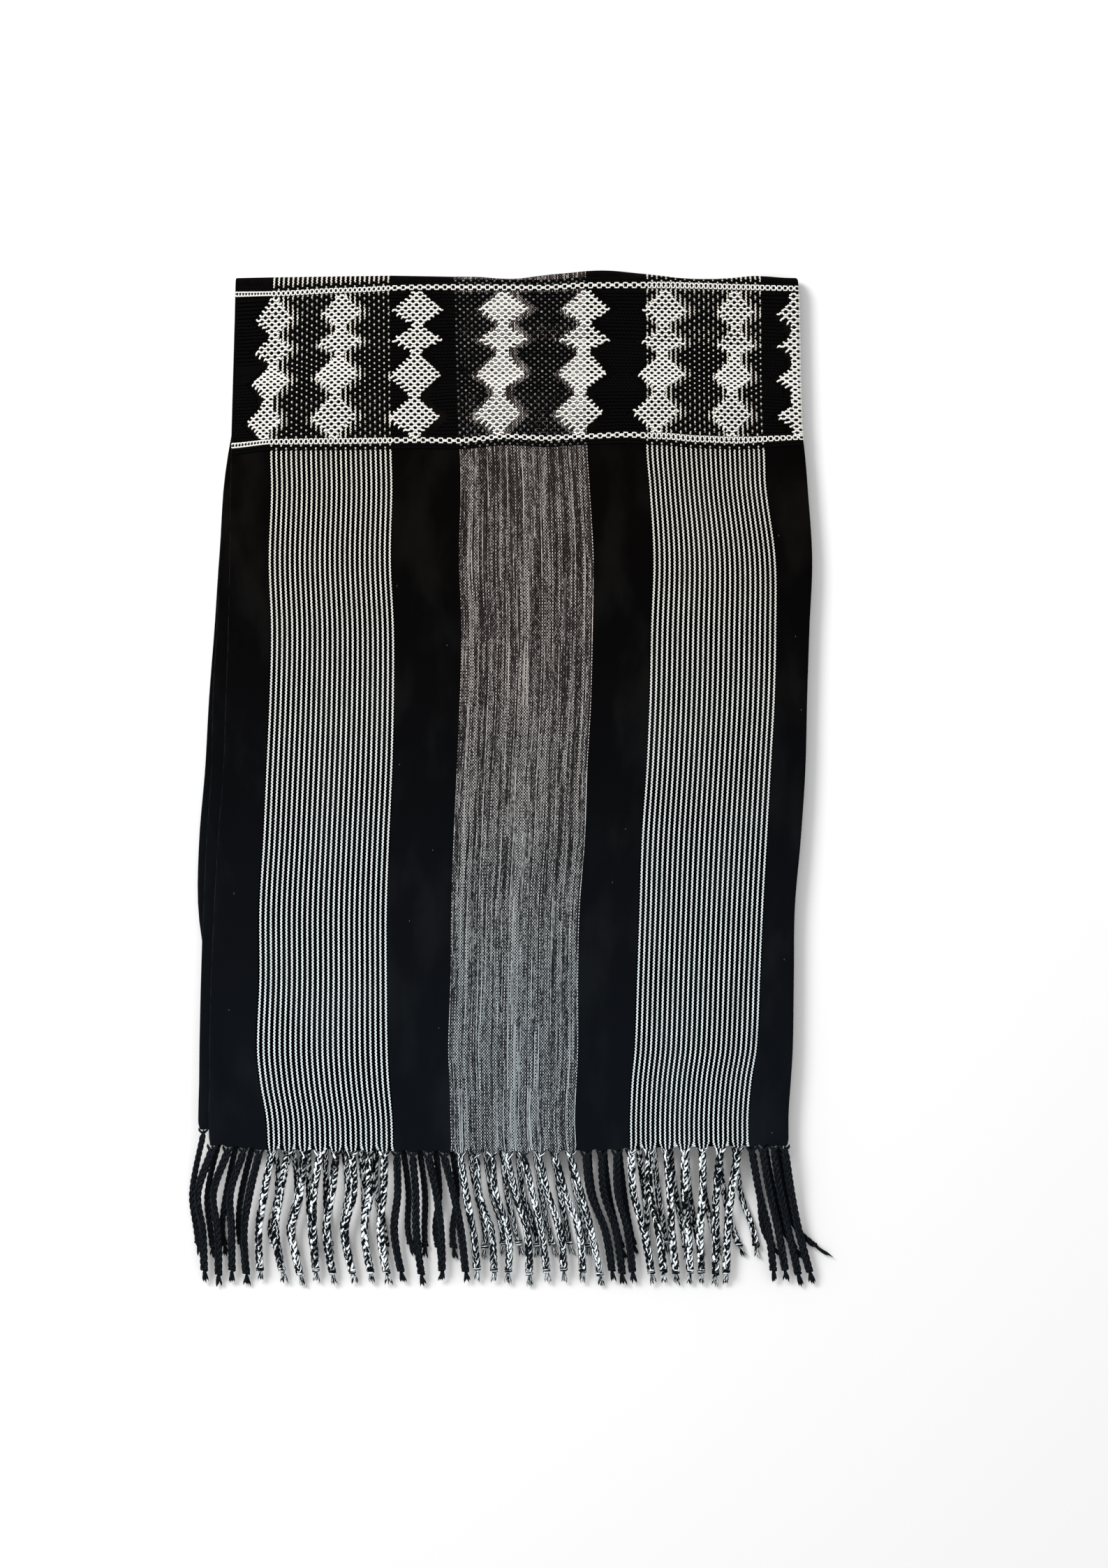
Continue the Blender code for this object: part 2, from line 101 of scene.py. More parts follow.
sky = bpy.data.worlds.new("studio_sky")
sky.use_nodes = True
sky.node_tree.nodes["Background"].inputs["Color"].default_value = (1.0, 1.0, 1.0, 1.0)
sky.node_tree.nodes["Background"].inputs["Strength"].default_value = SKY_STRENGTH
bpy.context.scene.world = sky
bpy.context.scene.view_settings.view_transform = "Standard"
print("lamp and sky are up")

# %% [markdown]
# Shaders are built from small helpers. A `Field` is one value at every point of a
# surface, and a sum with it adds a Math node, so that a pattern reads like a sum on
# paper. `feed` joins a field to a socket, or sets the socket to a plain value.

# %% Fields of values
class Field:
    """A value at each point of a surface, whose sums become Math nodes."""

    def __init__(self, tree, socket):
        self.tree, self.socket = tree, socket

    def math(self, operation, *others):
        """A Math node that takes this value first."""
        node = self.tree.nodes.new("ShaderNodeMath")
        node.operation = operation
        return fed(self.tree, node, dict(enumerate((self, *others))), 0)

    def __add__(self, other):
        return self.math("ADD", other)

    def __sub__(self, other):
        return self.math("SUBTRACT", other)

    def __mul__(self, other):
        return self.math("MULTIPLY", other)

    def __truediv__(self, other):
        return self.math("DIVIDE", other)

    def __mod__(self, other):
        return self.math("FLOORED_MODULO", other)

    def __pow__(self, other):
        return self.math("POWER", other)

    def __abs__(self):
        return self.math("ABSOLUTE")

    def __floor__(self):
        return self.math("FLOOR")


def feed(value, socket):
    """Join a field to a socket, or set the socket to a plain value."""
    if isinstance(value, Field):
        value.tree.links.new(value.socket, socket)
    else:
        socket.default_value = value


def fed(tree, node, values, output):
    """A node with values fed to its sockets, as the field that it gives."""
    for socket, value in values.items():
        feed(value, node.inputs[socket])
    return Field(tree, node.outputs[output])


# %% [markdown]
# A few other nodes are wanted again and again: a soft step, a blend of two colours, two
# kinds of randomness and a sine wave. Each gets a helper with a plain name.

# %% Steps, blends, chance and waves
def ease(value, low, high):
    """Nothing below low, one above high, and a soft step between them."""
    node = value.tree.nodes.new("ShaderNodeMapRange")
    node.interpolation_type = "SMOOTHSTEP"
    return fed(value.tree, node, {"Value": value, "From Min": low, "From Max": high}, "Result")


def blend(share, first, second):
    """A colour between two others."""
    node = share.tree.nodes.new("ShaderNodeMix")
    node.data_type = "RGBA"
    return fed(share.tree, node, {"Factor": share, 6: first, 7: second}, 2)


def pattern(kind, x, y, values, output):
    """A flat texture at the places x and y, of which x is a field."""
    node = x.tree.nodes.new(kind)
    node.noise_dimensions = "2D"
    place = fed(x.tree, x.tree.nodes.new("ShaderNodeCombineXYZ"), {0: x, 1: y}, 0)
    return fed(x.tree, node, {"Vector": place, **values}, output)


def chance(x, y):
    """A random value for each whole pair of numbers."""
    return pattern("ShaderNodeTexWhiteNoise", x, y, {}, "Value")


def clouds(x, y, detail=2.0):
    """A soft random pattern, about one patch to each unit."""
    return pattern("ShaderNodeTexNoise", x, y, {"Scale": 1.0, "Detail": detail}, "Fac")


def wave(value, length, phase=0.0):
    """A sine wave of a given length, from -1 to 1."""
    return value.math("MULTIPLY_ADD", 2 * math.pi / length, phase).math("SINE")


def from_middle(value):
    """How far a value is from the middle of its own whole step, from 0 to 1."""
    return abs(value.math("FRACT").math("MULTIPLY_ADD", 2.0, -1.0))


def flat_place(place):
    """The two parts of a UV place."""
    node = place.tree.nodes.new("ShaderNodeSeparateXYZ")
    feed(place, node.inputs[0])
    return [Field(place.tree, socket) for socket in node.outputs[:2]]


# %% [markdown]
# A pattern that several materials share is kept in a node group. These two helpers make
# an empty group with its sockets, and use a finished one.

# %% Node groups
def new_group(name, takes, gives):
    """An empty shader node group: it, the fields it takes, and its end."""
    group = bpy.data.node_groups.new(name, "ShaderNodeTree")
    for way, sockets in (("INPUT", takes), ("OUTPUT", gives)):
        for socket, kind in sockets.items():
            group.interface.new_socket(socket, in_out=way, socket_type="NodeSocket" + kind)
    start, end = group.nodes.new("NodeGroupInput"), group.nodes.new("NodeGroupOutput")
    return group, [Field(group, start.outputs[socket]) for socket in takes], end


def run_group(tree, group, *values):
    """A node group with values fed to its sockets in order, as the fields it gives."""
    node = tree.nodes.new("ShaderNodeGroup")
    node.node_tree = group
    for value, socket in zip(values, node.inputs):
        feed(value, socket)
    return [Field(tree, socket) for socket in node.outputs]


# %% [markdown]
# The cloth is a plain weave with its warp close together, so what shows is warp: each
# yarn comes up as a row of short beads, and its neighbour's beads sit between them. The
# UV map holds each point's place on the flat cut in metres, and the beads follow it.

# %% Beads of the warp
WARP_PITCH, BEAD = 0.82, 2.0
BEAD_POWERS, BEAD_EDGE = (2.2, 3.0), (1.2, 0.5)
FIRST_PINS, SECOND_PINS, MARL = (27.0, 109.0), (272.5, 354.5), (150.5, 235.5)


def between(value, ends):
    """One inside a band and nothing outside it."""
    return value.math("GREATER_THAN", ends[0]) * value.math("LESS_THAN", ends[1])


def bead_group():
    """The shape of each bead, with the number of its yarn and its number on the yarn."""
    group, (across, along), end = new_group(
        "warp_beads", {"Across": "Float", "Along": "Float"},
        {"Shape": "Float", "Yarn": "Float", "Bead": "Float"})
    place = across / WARP_PITCH
    yarn = math.floor(place)
    row = along / BEAD + yarn % 2.0 * 0.5
    edge = from_middle(place)**BEAD_POWERS[0] + from_middle(row)**BEAD_POWERS[1]
    feed(ease(edge, *BEAD_EDGE), end.inputs["Shape"])
    feed(yarn, end.inputs["Yarn"])
    feed(math.floor(row), end.inputs["Bead"])
    return group


warp_beads = bead_group()
print("warp yarns in one pinstripe band:", round((FIRST_PINS[1] - FIRST_PINS[0]) / WARP_PITCH))

# %% [markdown]
# The picture is lit unevenly: near the hem its colours are a little colder, and towards
# the top fold black is deeper. So each colour has a near and a far value.

# %% Yarn colours
BLACK_FAR, BLACK_NEAR = (0.0013, 0.0009, 0.0008, 1.0), (0.0040, 0.0052, 0.0072, 1.0)
PALE_FAR, PALE_NEAR = (0.76, 0.71, 0.62, 1.0), (0.80, 0.90, 0.94, 1.0)
BROWN_FAR, BROWN_NEAR = (0.075, 0.054, 0.048, 1.0), (0.056, 0.058, 0.066, 1.0)
FAWN = (0.86, 0.79, 0.75, 1.0)
# GAP_SHADE is pure black, painted as shade in the gaps between the yarns of the striped bands.
GAP_SHADE = (0.0, 0.0, 0.0, 1.0)
FRONT_LENGTH, BLACK_LENGTH, FAWN_LENGTHS = 560.0, 420.0, (60.0, 330.0)
print("colours shift over", FRONT_LENGTH, "mm from the hem to the top fold")

# %% [markdown]
# Four yarns make one pinstripe: two black and two pale ones side by side. A pale bead on
# the left follows one on the right, so a stripe's edges run in a small zigzag.

# %% Pinstripes
STRIPE_HALF, STRIPE_LEAN, STRIPE_SOFT = 0.62, 0.30, 0.08
STRIPE_YARNS = 4.0
PIN_PITCH = STRIPE_YARNS * WARP_PITCH
OWN_LIGHT, WEAR_LIGHT, BASE_LIGHT = 0.24, 0.4, 0.62
WEAR_GRAIN = (0.35, 0.05)


def pinstripes(across, along, first, second):
    """How bright each pale bead is, with painted shade towards its edges, and how high each bead
    stands.
    """
    place = across + second * (FIRST_PINS[0] - SECOND_PINS[0]) - FIRST_PINS[0]
    shape, yarn, bead = run_group(across.tree, warp_beads, place, along)
    own = chance(yarn, bead)
    zigzag = wave(along, BEAD, math.pi / 2) * STRIPE_LEAN
    off = abs(place / WARP_PITCH % STRIPE_YARNS - STRIPE_YARNS / 2 + zigzag)
    stripe = ease(off, STRIPE_HALF + STRIPE_SOFT, STRIPE_HALF - STRIPE_SOFT)
    wear = clouds(across * WEAR_GRAIN[0], along * WEAR_GRAIN[1], 3.0)
    bright = own * OWN_LIGHT + (wear * WEAR_LIGHT + BASE_LIGHT)
    # Each pale bead is painted darker towards its edges: painted shade on its round sides.
    return bright * (shape * 0.5 + 0.5) * (stripe * first.math("MAXIMUM", second)), shape


print("pinstripes in each band:", round((FIRST_PINS[1] - FIRST_PINS[0]) / PIN_PITCH))

# %% [markdown]
# The middle band is marl. Its yarns were dyed in short patches, so the colour of each
# bead is partly its own, partly its yarn's, partly its stretch's, and partly a slow
# change along the yarn. On plain stretches the black between two beads fills up.

# %% Marl
MARL_PITCH, MARL_BEAD = 0.85, 2.0
MARL_GAP, MARL_RIB = (0.72, 0.42), (0.66, 0.28)
PLAIN_LENGTH, PLAIN_CHANCE, PLAIN_FILL = 41.0, (0.66, 0.90), 0.65
STRETCH_LENGTH, STRETCH_SLIP, STRETCH_SEED, YARN_SEED = 23.0, 3.0, 4.5, 11.5
SLOW_GRAIN = (0.30, 0.021)
BEAD_DYE, SLOW_DYE, YARN_DYE, STRETCH_DYE = 0.30, 0.32, 0.40, 0.30
FAR_SHADE, LESS_DYE, DYE_EDGE = 0.16, 0.06, (0.27, 0.86)


def marl_yarns(across, along, far):
    """How pale each bead of the marl is dyed, with painted shade towards the top fold, and how
    high it stands.
    """
    place = across / MARL_PITCH
    yarn = math.floor(place)
    row = yarn % 2.0 * 0.5 + along / MARL_BEAD
    plain = ease(chance(yarn, math.floor(along / PLAIN_LENGTH)), *PLAIN_CHANCE)
    dot = ease(from_middle(row), *MARL_GAP).math("MAXIMUM", plain * PLAIN_FILL)
    slow = clouds(yarn * SLOW_GRAIN[0], along * SLOW_GRAIN[1], 1.0)
    stretch = chance(yarn, STRETCH_SEED) * STRETCH_SLIP + along / STRETCH_LENGTH
    # FAR_SHADE paints the marl a little darker towards the top fold: painted shade from the uneven
    # light.
    dye = (chance(yarn, math.floor(row)) * BEAD_DYE + slow * SLOW_DYE - LESS_DYE
           + chance(yarn, YARN_SEED) * YARN_DYE - far * FAR_SHADE
           + chance(yarn, math.floor(stretch)) * STRETCH_DYE)
    return ease(dye, *DYE_EDGE), dot * ease(from_middle(place), *MARL_RIB)


print("marl yarns:", round((MARL[1] - MARL[0]) / MARL_PITCH))

# %% [markdown]
# Used cotton is never clean black. A few specks of lint and a trace of dust let a little pale yarn
# through, a painted highlight lights the outer edge in patches, and the whole cloth is put
# together here.

# %% Lint, dust, a painted edge highlight and the whole cloth
LINT_SIZE, LINT_RARE, LINT_LIGHT = (0.45, 0.8), 0.99991, 0.10
HIGHLIGHT_GRAIN, HIGHLIGHT_PATCHES, HIGHLIGHT_REACH, EDGE_HIGHLIGHT = (0.3, 0.09), (0.32, 0.62), (0.75, 0.2), 0.010
DUST_GRAIN, DUST_PATCHES, DUST_LIGHT = (0.035, 0.016), (0.42, 0.75), 0.0035


def lint_edge_highlight_and_dust(across, along):
    """Specks of lint, a painted highlight along the outer edge and a little dust, as a share of
    pale yarn.
    """
    speck = chance(math.floor(across / LINT_SIZE[0]), math.floor(along / LINT_SIZE[1]))
    highlight_patches = ease(clouds(across * HIGHLIGHT_GRAIN[0], along * HIGHLIGHT_GRAIN[1]), *HIGHLIGHT_PATCHES)
    # A painted highlight along the outer edge, in patches, where its yarns catch the light.
    rim = ease(across, *HIGHLIGHT_REACH) * (highlight_patches * EDGE_HIGHLIGHT)
    dust = ease(clouds(across * DUST_GRAIN[0], along * DUST_GRAIN[1], 4.0), *DUST_PATCHES)
    return speck.math("GREATER_THAN", LINT_RARE) * LINT_LIGHT + (rim + dust * DUST_LIGHT)


def cloth_group():
    """Colour and height of the striped cloth."""
    group, (place,), end = new_group(
        "striped_cloth", {"Flat Place": "Vector"}, {"Colour": "Color", "Height": "Float"})
    across, along = (part / MM for part in flat_place(place))
    far = ease(along, 0.0, FRONT_LENGTH)
    first, second, in_marl = (between(across, band) for band in (FIRST_PINS, SECOND_PINS, MARL))
    striped = in_marl.math("MAXIMUM", first.math("MAXIMUM", second))
    black = blend(ease(along, 0.0, BLACK_LENGTH), BLACK_NEAR, BLACK_FAR)
    # In the striped bands the black between beads is pure black: painted shade in the gaps between
    # yarns.
    black = blend(striped, black, GAP_SHADE)
    pale = blend(far, PALE_NEAR, PALE_FAR)
    brown = blend(far, BROWN_NEAR, BROWN_FAR)
    fawn = blend(ease(along, *FAWN_LENGTHS), PALE_NEAR, FAWN)
    bright, shape = pinstripes(across, along, first, second)
    dye, dot = marl_yarns(across, along, far)
    colour = blend(in_marl, blend(bright, black, pale), blend(dot, black, blend(dye, brown, fawn)))
    feed(blend(lint_edge_highlight_and_dust(across, along), colour, pale), end.inputs["Colour"])
    feed(in_marl * (dot - shape) + shape, end.inputs["Height"])
    return group


striped_cloth = cloth_group()
print("cloth pattern:", len(striped_cloth.nodes), "nodes")

# %% [markdown]
# Each finish is a Principled shader that stays in its own material. Cotton is rough,
# so its roughness is high and its mirror light low, or black would turn grey. A Bump
# node turns the pattern's height into light on single yarns.

# %% Cloth finish
BUMP_DEPTH, CLOTH_BUMP = 0.0003, 0.45
COTTON_ROUGHNESS = 0.92
COTTON_MIRROR = 0.025


def cotton(name, mirror, bump):
    """A rough cotton material, its UV place, and its sockets for colour and height."""
    material = bpy.data.materials.new(name)
    material.use_nodes = True
    tree = material.node_tree
    shader = tree.nodes["Principled BSDF"].inputs
    relief = tree.nodes.new("ShaderNodeBump")
    place = tree.nodes.new("ShaderNodeUVMap")
    place.uv_map = "UVMap"
    normal = fed(tree, relief, {"Strength": bump, "Distance": BUMP_DEPTH}, 0)
    for value, socket in ((COTTON_ROUGHNESS, "Roughness"), (mirror, "Specular IOR Level"),
                          (normal, "Normal")):
        feed(value, shader[socket])
    return material, Field(tree, place.outputs[0]), shader["Base Color"], relief.inputs["Height"]


def cloth_finish(name):
    """The striped cloth's finish."""
    material, place, base, relief = cotton(name, COTTON_MIRROR, CLOTH_BUMP)
    colour, height = run_group(material.node_tree, striped_cloth, place)
    feed(colour, base)
    feed(height, relief)
    return material


woven_finish = cloth_finish("woven_cotton")
print("finish:", woven_finish.name)

# %% [markdown]
# A yarn is two or more plies twisted together. On a tube whose UV map runs round it and along it,
# slanted stripes of height make the plies, and the same stripes split the colour where black and
# white yarns were braided together. On a yarn of one colour they split each ply into a painted lit
# side and a painted shaded side, and every yarn gets painted shade down its flanks.

# %% Yarn plies
YARN_BUMP, YARN_MIRROR, MATT_MIRROR = 0.6, 0.05, 0.02
FLANK_SHADE_SOFT, PLY_SOFT, SHARE_SWING = 0.7, 0.25, 2.4
RAGGED_GRAIN, SHARE_GRAIN = (4.0, 0.12), (0.09, 0.5)


def ply_group():
    """Slanted plies round a tube: their height, and a mask for every second one."""
    group, (place, plies, turns, ragged, dark), end = new_group(
        "yarn_plies",
        {"Tube Place": "Vector", "Plies": "Float", "Turns": "Float", "Ragged": "Float",
         "Dark Share": "Float"},
        {"Mask": "Float", "Height": "Float", "Top": "Float"})
    around, along = flat_place(place)
    along = along / MM
    wander = clouds(around * RAGGED_GRAIN[0], along * RAGGED_GRAIN[1], 3.0) - 0.5
    turn = around * plies + (along * turns + wander * ragged)
    stretch = clouds(along * SHARE_GRAIN[0], SHARE_GRAIN[1], 1.0) - 0.5
    share = stretch * ragged * SHARE_SWING + dark
    feed(ease(wave(turn, 1.0) - share, -PLY_SOFT, PLY_SOFT), end.inputs["Mask"])
    feed(abs(wave(turn, 2.0)), end.inputs["Height"])
    feed(wave(around, 1.0), end.inputs["Top"])
    return group


yarn_plies = ply_group()


def yarn_finish(name, dark, light, plies, turns, ragged, share=0.0, flank_shade=-1.5,
                mirror=YARN_MIRROR):
    """A yarn's finish: plies of one colour with a painted lit and shaded side, or of two colours
    by turns, with painted shade down its flanks.
    """
    material, place, base, relief = cotton(name, mirror, YARN_BUMP)
    mask, height, top = run_group(
        material.node_tree, yarn_plies, place, plies, turns, ragged, share)
    feed(blend(mask * ease(top, flank_shade, flank_shade + FLANK_SHADE_SOFT), dark, light), base)
    feed(height, relief)
    return material


# The white yarn, the black yarn and the black braid are each one colour: their lighter tone is a
# painted highlight on one side of each ply, and their darker tone painted shade on the other.
white_yarn = yarn_finish(
    "white_yarn", (0.74, 0.71, 0.64, 1.0), (0.96, 0.955, 0.93, 1.0), 2.0, 0.45, 0.6)
black_yarn = yarn_finish(
    "black_yarn", (0.0012, 0.0012, 0.0012, 1.0), (0.0028, 0.0028, 0.0028, 1.0),
    2.0, 0.45, 0.6, mirror=MATT_MIRROR)
black_braid = yarn_finish(
    "black_braid", (0.0025, 0.0036, 0.0050, 1.0), (0.0125, 0.0155, 0.0200, 1.0),
    4.0, 0.05, 0.5, flank_shade=-0.1)
striped_braid = yarn_finish(
    "striped_braid", (0.003, 0.004, 0.006, 1.0), (0.90, 0.97, 1.0, 1.0),
    2.0, 0.13, 1.2, share=0.48, flank_shade=-0.1)
marl_braid = yarn_finish(
    "marl_braid", (0.004, 0.006, 0.009, 1.0), (0.86, 0.94, 0.98, 1.0),
    3.0, 0.09, 1.2, share=0.42, flank_shade=0.0)
print("yarn finishes:", ", ".join(
    finish.name for finish in (white_yarn, black_yarn, black_braid, striped_braid, marl_braid)))

# %% [markdown]
# The folded cloth is described by a few lines across it. At each distance below the
# top fold a row says where the edges of the stripes lie, as a tailor would chalk them.
# Smooth curves through those rows carry the whole cloth, and the solids use the same.

# %% The cloth's lines
WALL = 1.2
GAP = 0.3
LAYER_STEP = WALL + GAP
HIDDEN_LAYERS = 5
HIDDEN_BOTTOM = LAYER_STEP
BACK_TOP = 10.2
FRONT_TOP = CLOTH_LEVEL
HALF_WIDTH = 376.5
TOP_Y = 325.5
FRONT_DROP, BACK_DROP, UNDER_DROP = 563.5, 550.0, 543.0
ROLL_RADIUS = FRONT_TOP / 2
CURL_RADIUS = 2.85
LIP_RADIUS = 1.95
LIP_TUCK = 2.0
LIP_TURN = math.radians(98)
LIP_START = HALF_WIDTH - LIP_RADIUS
TUCK_REACH = 60.0

BANDS = ("edge", "pin1", "pin1_end", "marl", "marl_end", "pin2", "pin2_end", "fold")
BAND_S = np.array((0.0, *FIRST_PINS, *MARL, *SECOND_PINS, HALF_WIDTH))
WEFT_RISE = np.array((-3.6, -2.7, -0.5, -0.2, 1.8, 1.8, 0.5, 0.0))
ROLL_RISE = np.array((3.6, 3.2, 2.1, 1.1, 1.4, 0.5, -1.4, 0.0))
RIPPLES, RIPPLE_REACH = ((188, 18, -2.4), (248, 20, 2.0), (307, 18, -2.0), (352, 14, 2.2)), 22.0
HEM_RISE = np.array((3.6, 0.0, -0.9, -1.4, -0.9, 0.5, 2.2, 3.2))
WEFT_REACH, ROLL_REACH, HEM_REACH = 300.0, 20.0, 110.0

STATION_ROWS = np.array((
    (2, -179, -155.5, -79, -38.5, 47, 85, 160.5, 184, -1.5, -4),
    (92, -181.5, -157, -78, -36, 47.5, 85, 161.5, 186, -1, -4),
    (114, -182, -157.5, -77.5, -34.5, 48, 85, 163, 188.5, 2, -3),
    (137, -182.5, -157, -77, -34, 49.5, 87, 164, 190.5, 4.5, 3.5),
    (182, -183, -158.5, -78, -35, 52, 89.5, 170, 193, 6.5, 7),
    (227, -184, -157, -76, -33.5, 51.5, 88, 170.5, 191, 7.5, 9),
    (272, -185.5, -158, -76, -34.5, 50.5, 87, 169.5, 189.5, 8.5, 11),
    (317, -187, -160, -77, -36.5, 48, 85, 167, 188.5, 8, 12),
    (362, -190.5, -162, -79, -38.5, 46.5, 82, 164.5, 185.5, 7.5, 12.3),
    (407, -193, -164.5, -80.5, -40, 43, 80.5, 162, 181.5, 7, 10.5),
    (452, -195, -164.5, -80.5, -40.5, 42, 79, 160, 181, 6.5, 3),
    (497, -196, -166, -80, -42, 42, 77.5, 158, 180.5, 6.5, 2),
    (519, -196, -164, -79, -41, 41, 75.5, 154.5, 179.5, 6.7, 2),
    (542, -196.5, -160, -77, -40.5, 40, 74.5, 152.5, 178, 6.8, 2),
    (562, -196, -159, -76.5, -40, 41, 74.5, 152.5, 178, 6.8, 2),
))
STATION_DOWN = STATION_ROWS[:, 0]
STATION = dict(zip(BANDS + ("second", "third"), STATION_ROWS[:, 1:].T))


print("lines for", len(STATION_ROWS), "distances below the top fold")

# %% [markdown]
# Between its rows the table is read by smooth curves, and between the stripes' edges by
# straight lines. So any point of the flat cloth finds its place across the stack.

# %% Curves through the lines
def steps_of(knots, at):
    """Which step between knots each value lies in, and its share of the way."""
    i = np.clip(np.searchsorted(knots, at, side="right") - 1, 0, len(knots) - 2)
    return i, (at - knots[i]) / (knots[i + 1] - knots[i])


def smooth(knots, values, at):
    """A cubic through the values at the knots, level beyond both ends."""
    knots, values = np.asarray(knots, float), np.asarray(values, float)
    at = np.clip(np.asarray(at, float), knots[0], knots[-1])
    numbers = np.arange(len(knots))
    low, high = np.maximum(numbers - 1, 0), np.minimum(numbers + 1, len(knots) - 1)
    slopes = (values[high] - values[low]) / (knots[high] - knots[low])
    i, t = steps_of(knots, at)
    span = knots[i + 1] - knots[i]
    return (values[i] * (2 * t**3 - 3 * t**2 + 1) + slopes[i] * span * (t**3 - 2 * t**2 + t)
            + values[i + 1] * (3 * t**2 - 2 * t**3) + slopes[i + 1] * span * (t**3 - t**2))


def fade(distance, reach):
    """One at no distance, falling softly to nothing at the reach."""
    t = np.clip(1 - np.asarray(distance, float) / reach, 0.0, 1.0)
    return t * t * (3 - 2 * t)


def across_bands(values, s):
    """Straight lines between the bands' edges, for one set of values or one a point."""
    i, t = steps_of(BAND_S, s)
    points = () if values.ndim == 1 else (np.arange(len(s)),)
    return values[(i, *points)] * (1 - t) + values[(i + 1, *points)] * t


def line_x(name, down):
    """Where one of the cloth's lines lies across the stack, at distances down."""
    return smooth(STATION_DOWN, STATION[name], down)


def cloth_x(s, down):
    """Where points of the flat half width lie across the stack."""
    return across_bands(np.array([line_x(name, down) for name in BANDS]), s)


def top_rise(s, down):
    """How far the weft and the rolled end wander up the stack, with the end's ripples."""
    rise = across_bands(WEFT_RISE, s) * fade(down, WEFT_REACH)
    rise = rise + across_bands(ROLL_RISE, s) * fade(down - ROLL_RADIUS, ROLL_REACH)
    for at, reach, height in RIPPLES:
        ripple = height * np.exp(-((s - at) / reach)**2)
        rise = rise + ripple * fade(down - ROLL_RADIUS, RIPPLE_REACH)
    return rise


hem_width = float(line_x("fold", FRONT_DROP) - line_x("edge", FRONT_DROP))
print(f"the front hem is {hem_width:.0f} mm wide")

# %% [markdown]
# A folded cotton cloth keeps soft swells and creases. Each is listed one by one: a swell is a low
# mound, and a crease is a shallow trough or ridge along a slightly bent line that fades at both
# ends. Uneven depth keeps them from looking ruled.

# %% Swells and creases
CREASE_BEND, CREASE_FADE, UNEVEN, UNEVEN_LENGTH = 0.05, 1.15, 0.3, 17.0
SWELLS = (
    (330, 190, 42, 60, 0.0, 1.6),
    (348, 455, 16, 75, -0.18, 1.5),
    (30, 500, 22, 60, 0.1, 1.3),
    (205, 330, 60, 90, 0.1, 0.8),
)
CREASES = (
    (362, 415, 338, 512, 6.0, -1.8),
    (350, 400, 328, 500, 5.5, 1.1),
    (6, 478, 24, 562, 4.5, -1.3),
    (2, 505, 14, 563, 4.0, 0.9),
    (22, 500, 40, 562, 4.5, 0.9),
    (20, 300, 12, 430, 7.0, -0.6),
    (366, 140, 352, 260, 8.0, -0.9),
    (345, 150, 362, 300, 9.0, 0.6),
    (125, 180, 132, 420, 12.0, -0.5),
    (250, 240, 258, 470, 11.0, -0.5),
    (118, 440, 140, 560, 9.0, -0.6),
    (10, 118, 60, 128, 5.0, -0.5),
    (180, 112, 250, 122, 6.0, -0.4),
    (300, 118, 372, 132, 7.0, -0.7),
)


def front_lift(s, down):
    """Height of the front layer's swells and creases."""
    lift = np.zeros_like(s)
    for at_s, at_down, reach_s, reach_down, slant, height in SWELLS:
        off_down = (down - at_down) / reach_down
        off_s = (s - at_s - slant * (down - at_down)) / reach_s
        lift += height * np.exp(-2.0 * (off_s**2 + off_down**2))
    for s0, down0, s1, down1, reach, height in CREASES:
        length = math.hypot(s1 - s0, down1 - down0)
        way = ((s1 - s0) / length, (down1 - down0) / length)
        along = (s - s0) * way[0] + (down - down0) * way[1]
        aside = (s - s0) * way[1] - (down - down0) * way[0]
        aside = aside + CREASE_BEND * length * np.sin(along / length * math.pi)
        ends = fade(np.abs((along / length - 0.5) * 2), CREASE_FADE)
        uneven = 1 + UNEVEN * np.sin(along / UNEVEN_LENGTH + s0)
        lift += height * uneven * np.exp(-2 * (aside / reach)**2) * ends
    return lift


print(len(SWELLS), "swells and", len(CREASES), "creases")

# %% [markdown]
# The fringe is laid out before the cloth, because the hem's small scallops hang from
# its roots. Each band of the cloth has its own group of braids. A group is written as
# the places of its first and last braid at the hem, at two lines and at the tips.

# %% Places of the braids
SEED = 7
BRAID_SPACING = 6.3
LOOSE_SHARE = 0.42
MID_DOWN, LOW_DOWN = 591.0, 616.0
STRIP_DEPTH = 2.2
FRONT_BRAIDS = (
    (4, -194, -164, -203, -170, -200, -173, -200, -171),
    (8, -156, -83, -160.5, -82, -166, -84, -161.5, -79),
    (4, -75, -44.5, -75.5, -39, -76.5, -34, -70, -32),
    (8, -34, 37, -31.5, 43, -25, 52, -25, 57),
    (3, 47, 67, 49.5, 69, 59, 74, 65, 78),
    (7, 76, 145, 79, 142, 85.5, 139, 90.5, 138),
    (4, 154, 175, 159, 179.5, 165, 184.5, 169, 194),
)
BACK_BRAIDS = (
    (4, -200, -166, -208, -175.5, -206, -178.5, -204.5, -173),
    (7, -154.5, -88, -152.5, -87.5, -156.5, -85.5, -153, -82.5),
    (4, -72.5, -40.5, -70, -36, -67.5, -40.5, -65, -37.5),
    (7, -30, 34.5, -25, 39, -20, 46.5, -18, 50),
    (3, 48, 67, 52.5, 71, 59, 76, 63.5, 80.5),
    (7, 79.5, 142, 83, 145.5, 85, 154, 88, 160.5),
    (3, 151.5, 171, 158, 177, 164, 186, 170.5, 206),
)
BAND_YARNS = ("black", "striped", "black", "marl", "black", "striped", "black")
FRONT_END, BACK_END, END_SPREAD = 651.5, 634.0, 2.0
FRONT_HEIGHTS = ((564, 577, 587, 605, 625, 638, 646, 654),
                 (11.1, 10.2, 8.9, 7.6, 6.7, 6.2, 4.0, 1.8))
BACK_HEIGHTS = ((551, 566, 578, 588, 600, 640), (9.6, 7.2, 4.3, 2.7, 2.3, 2.3))


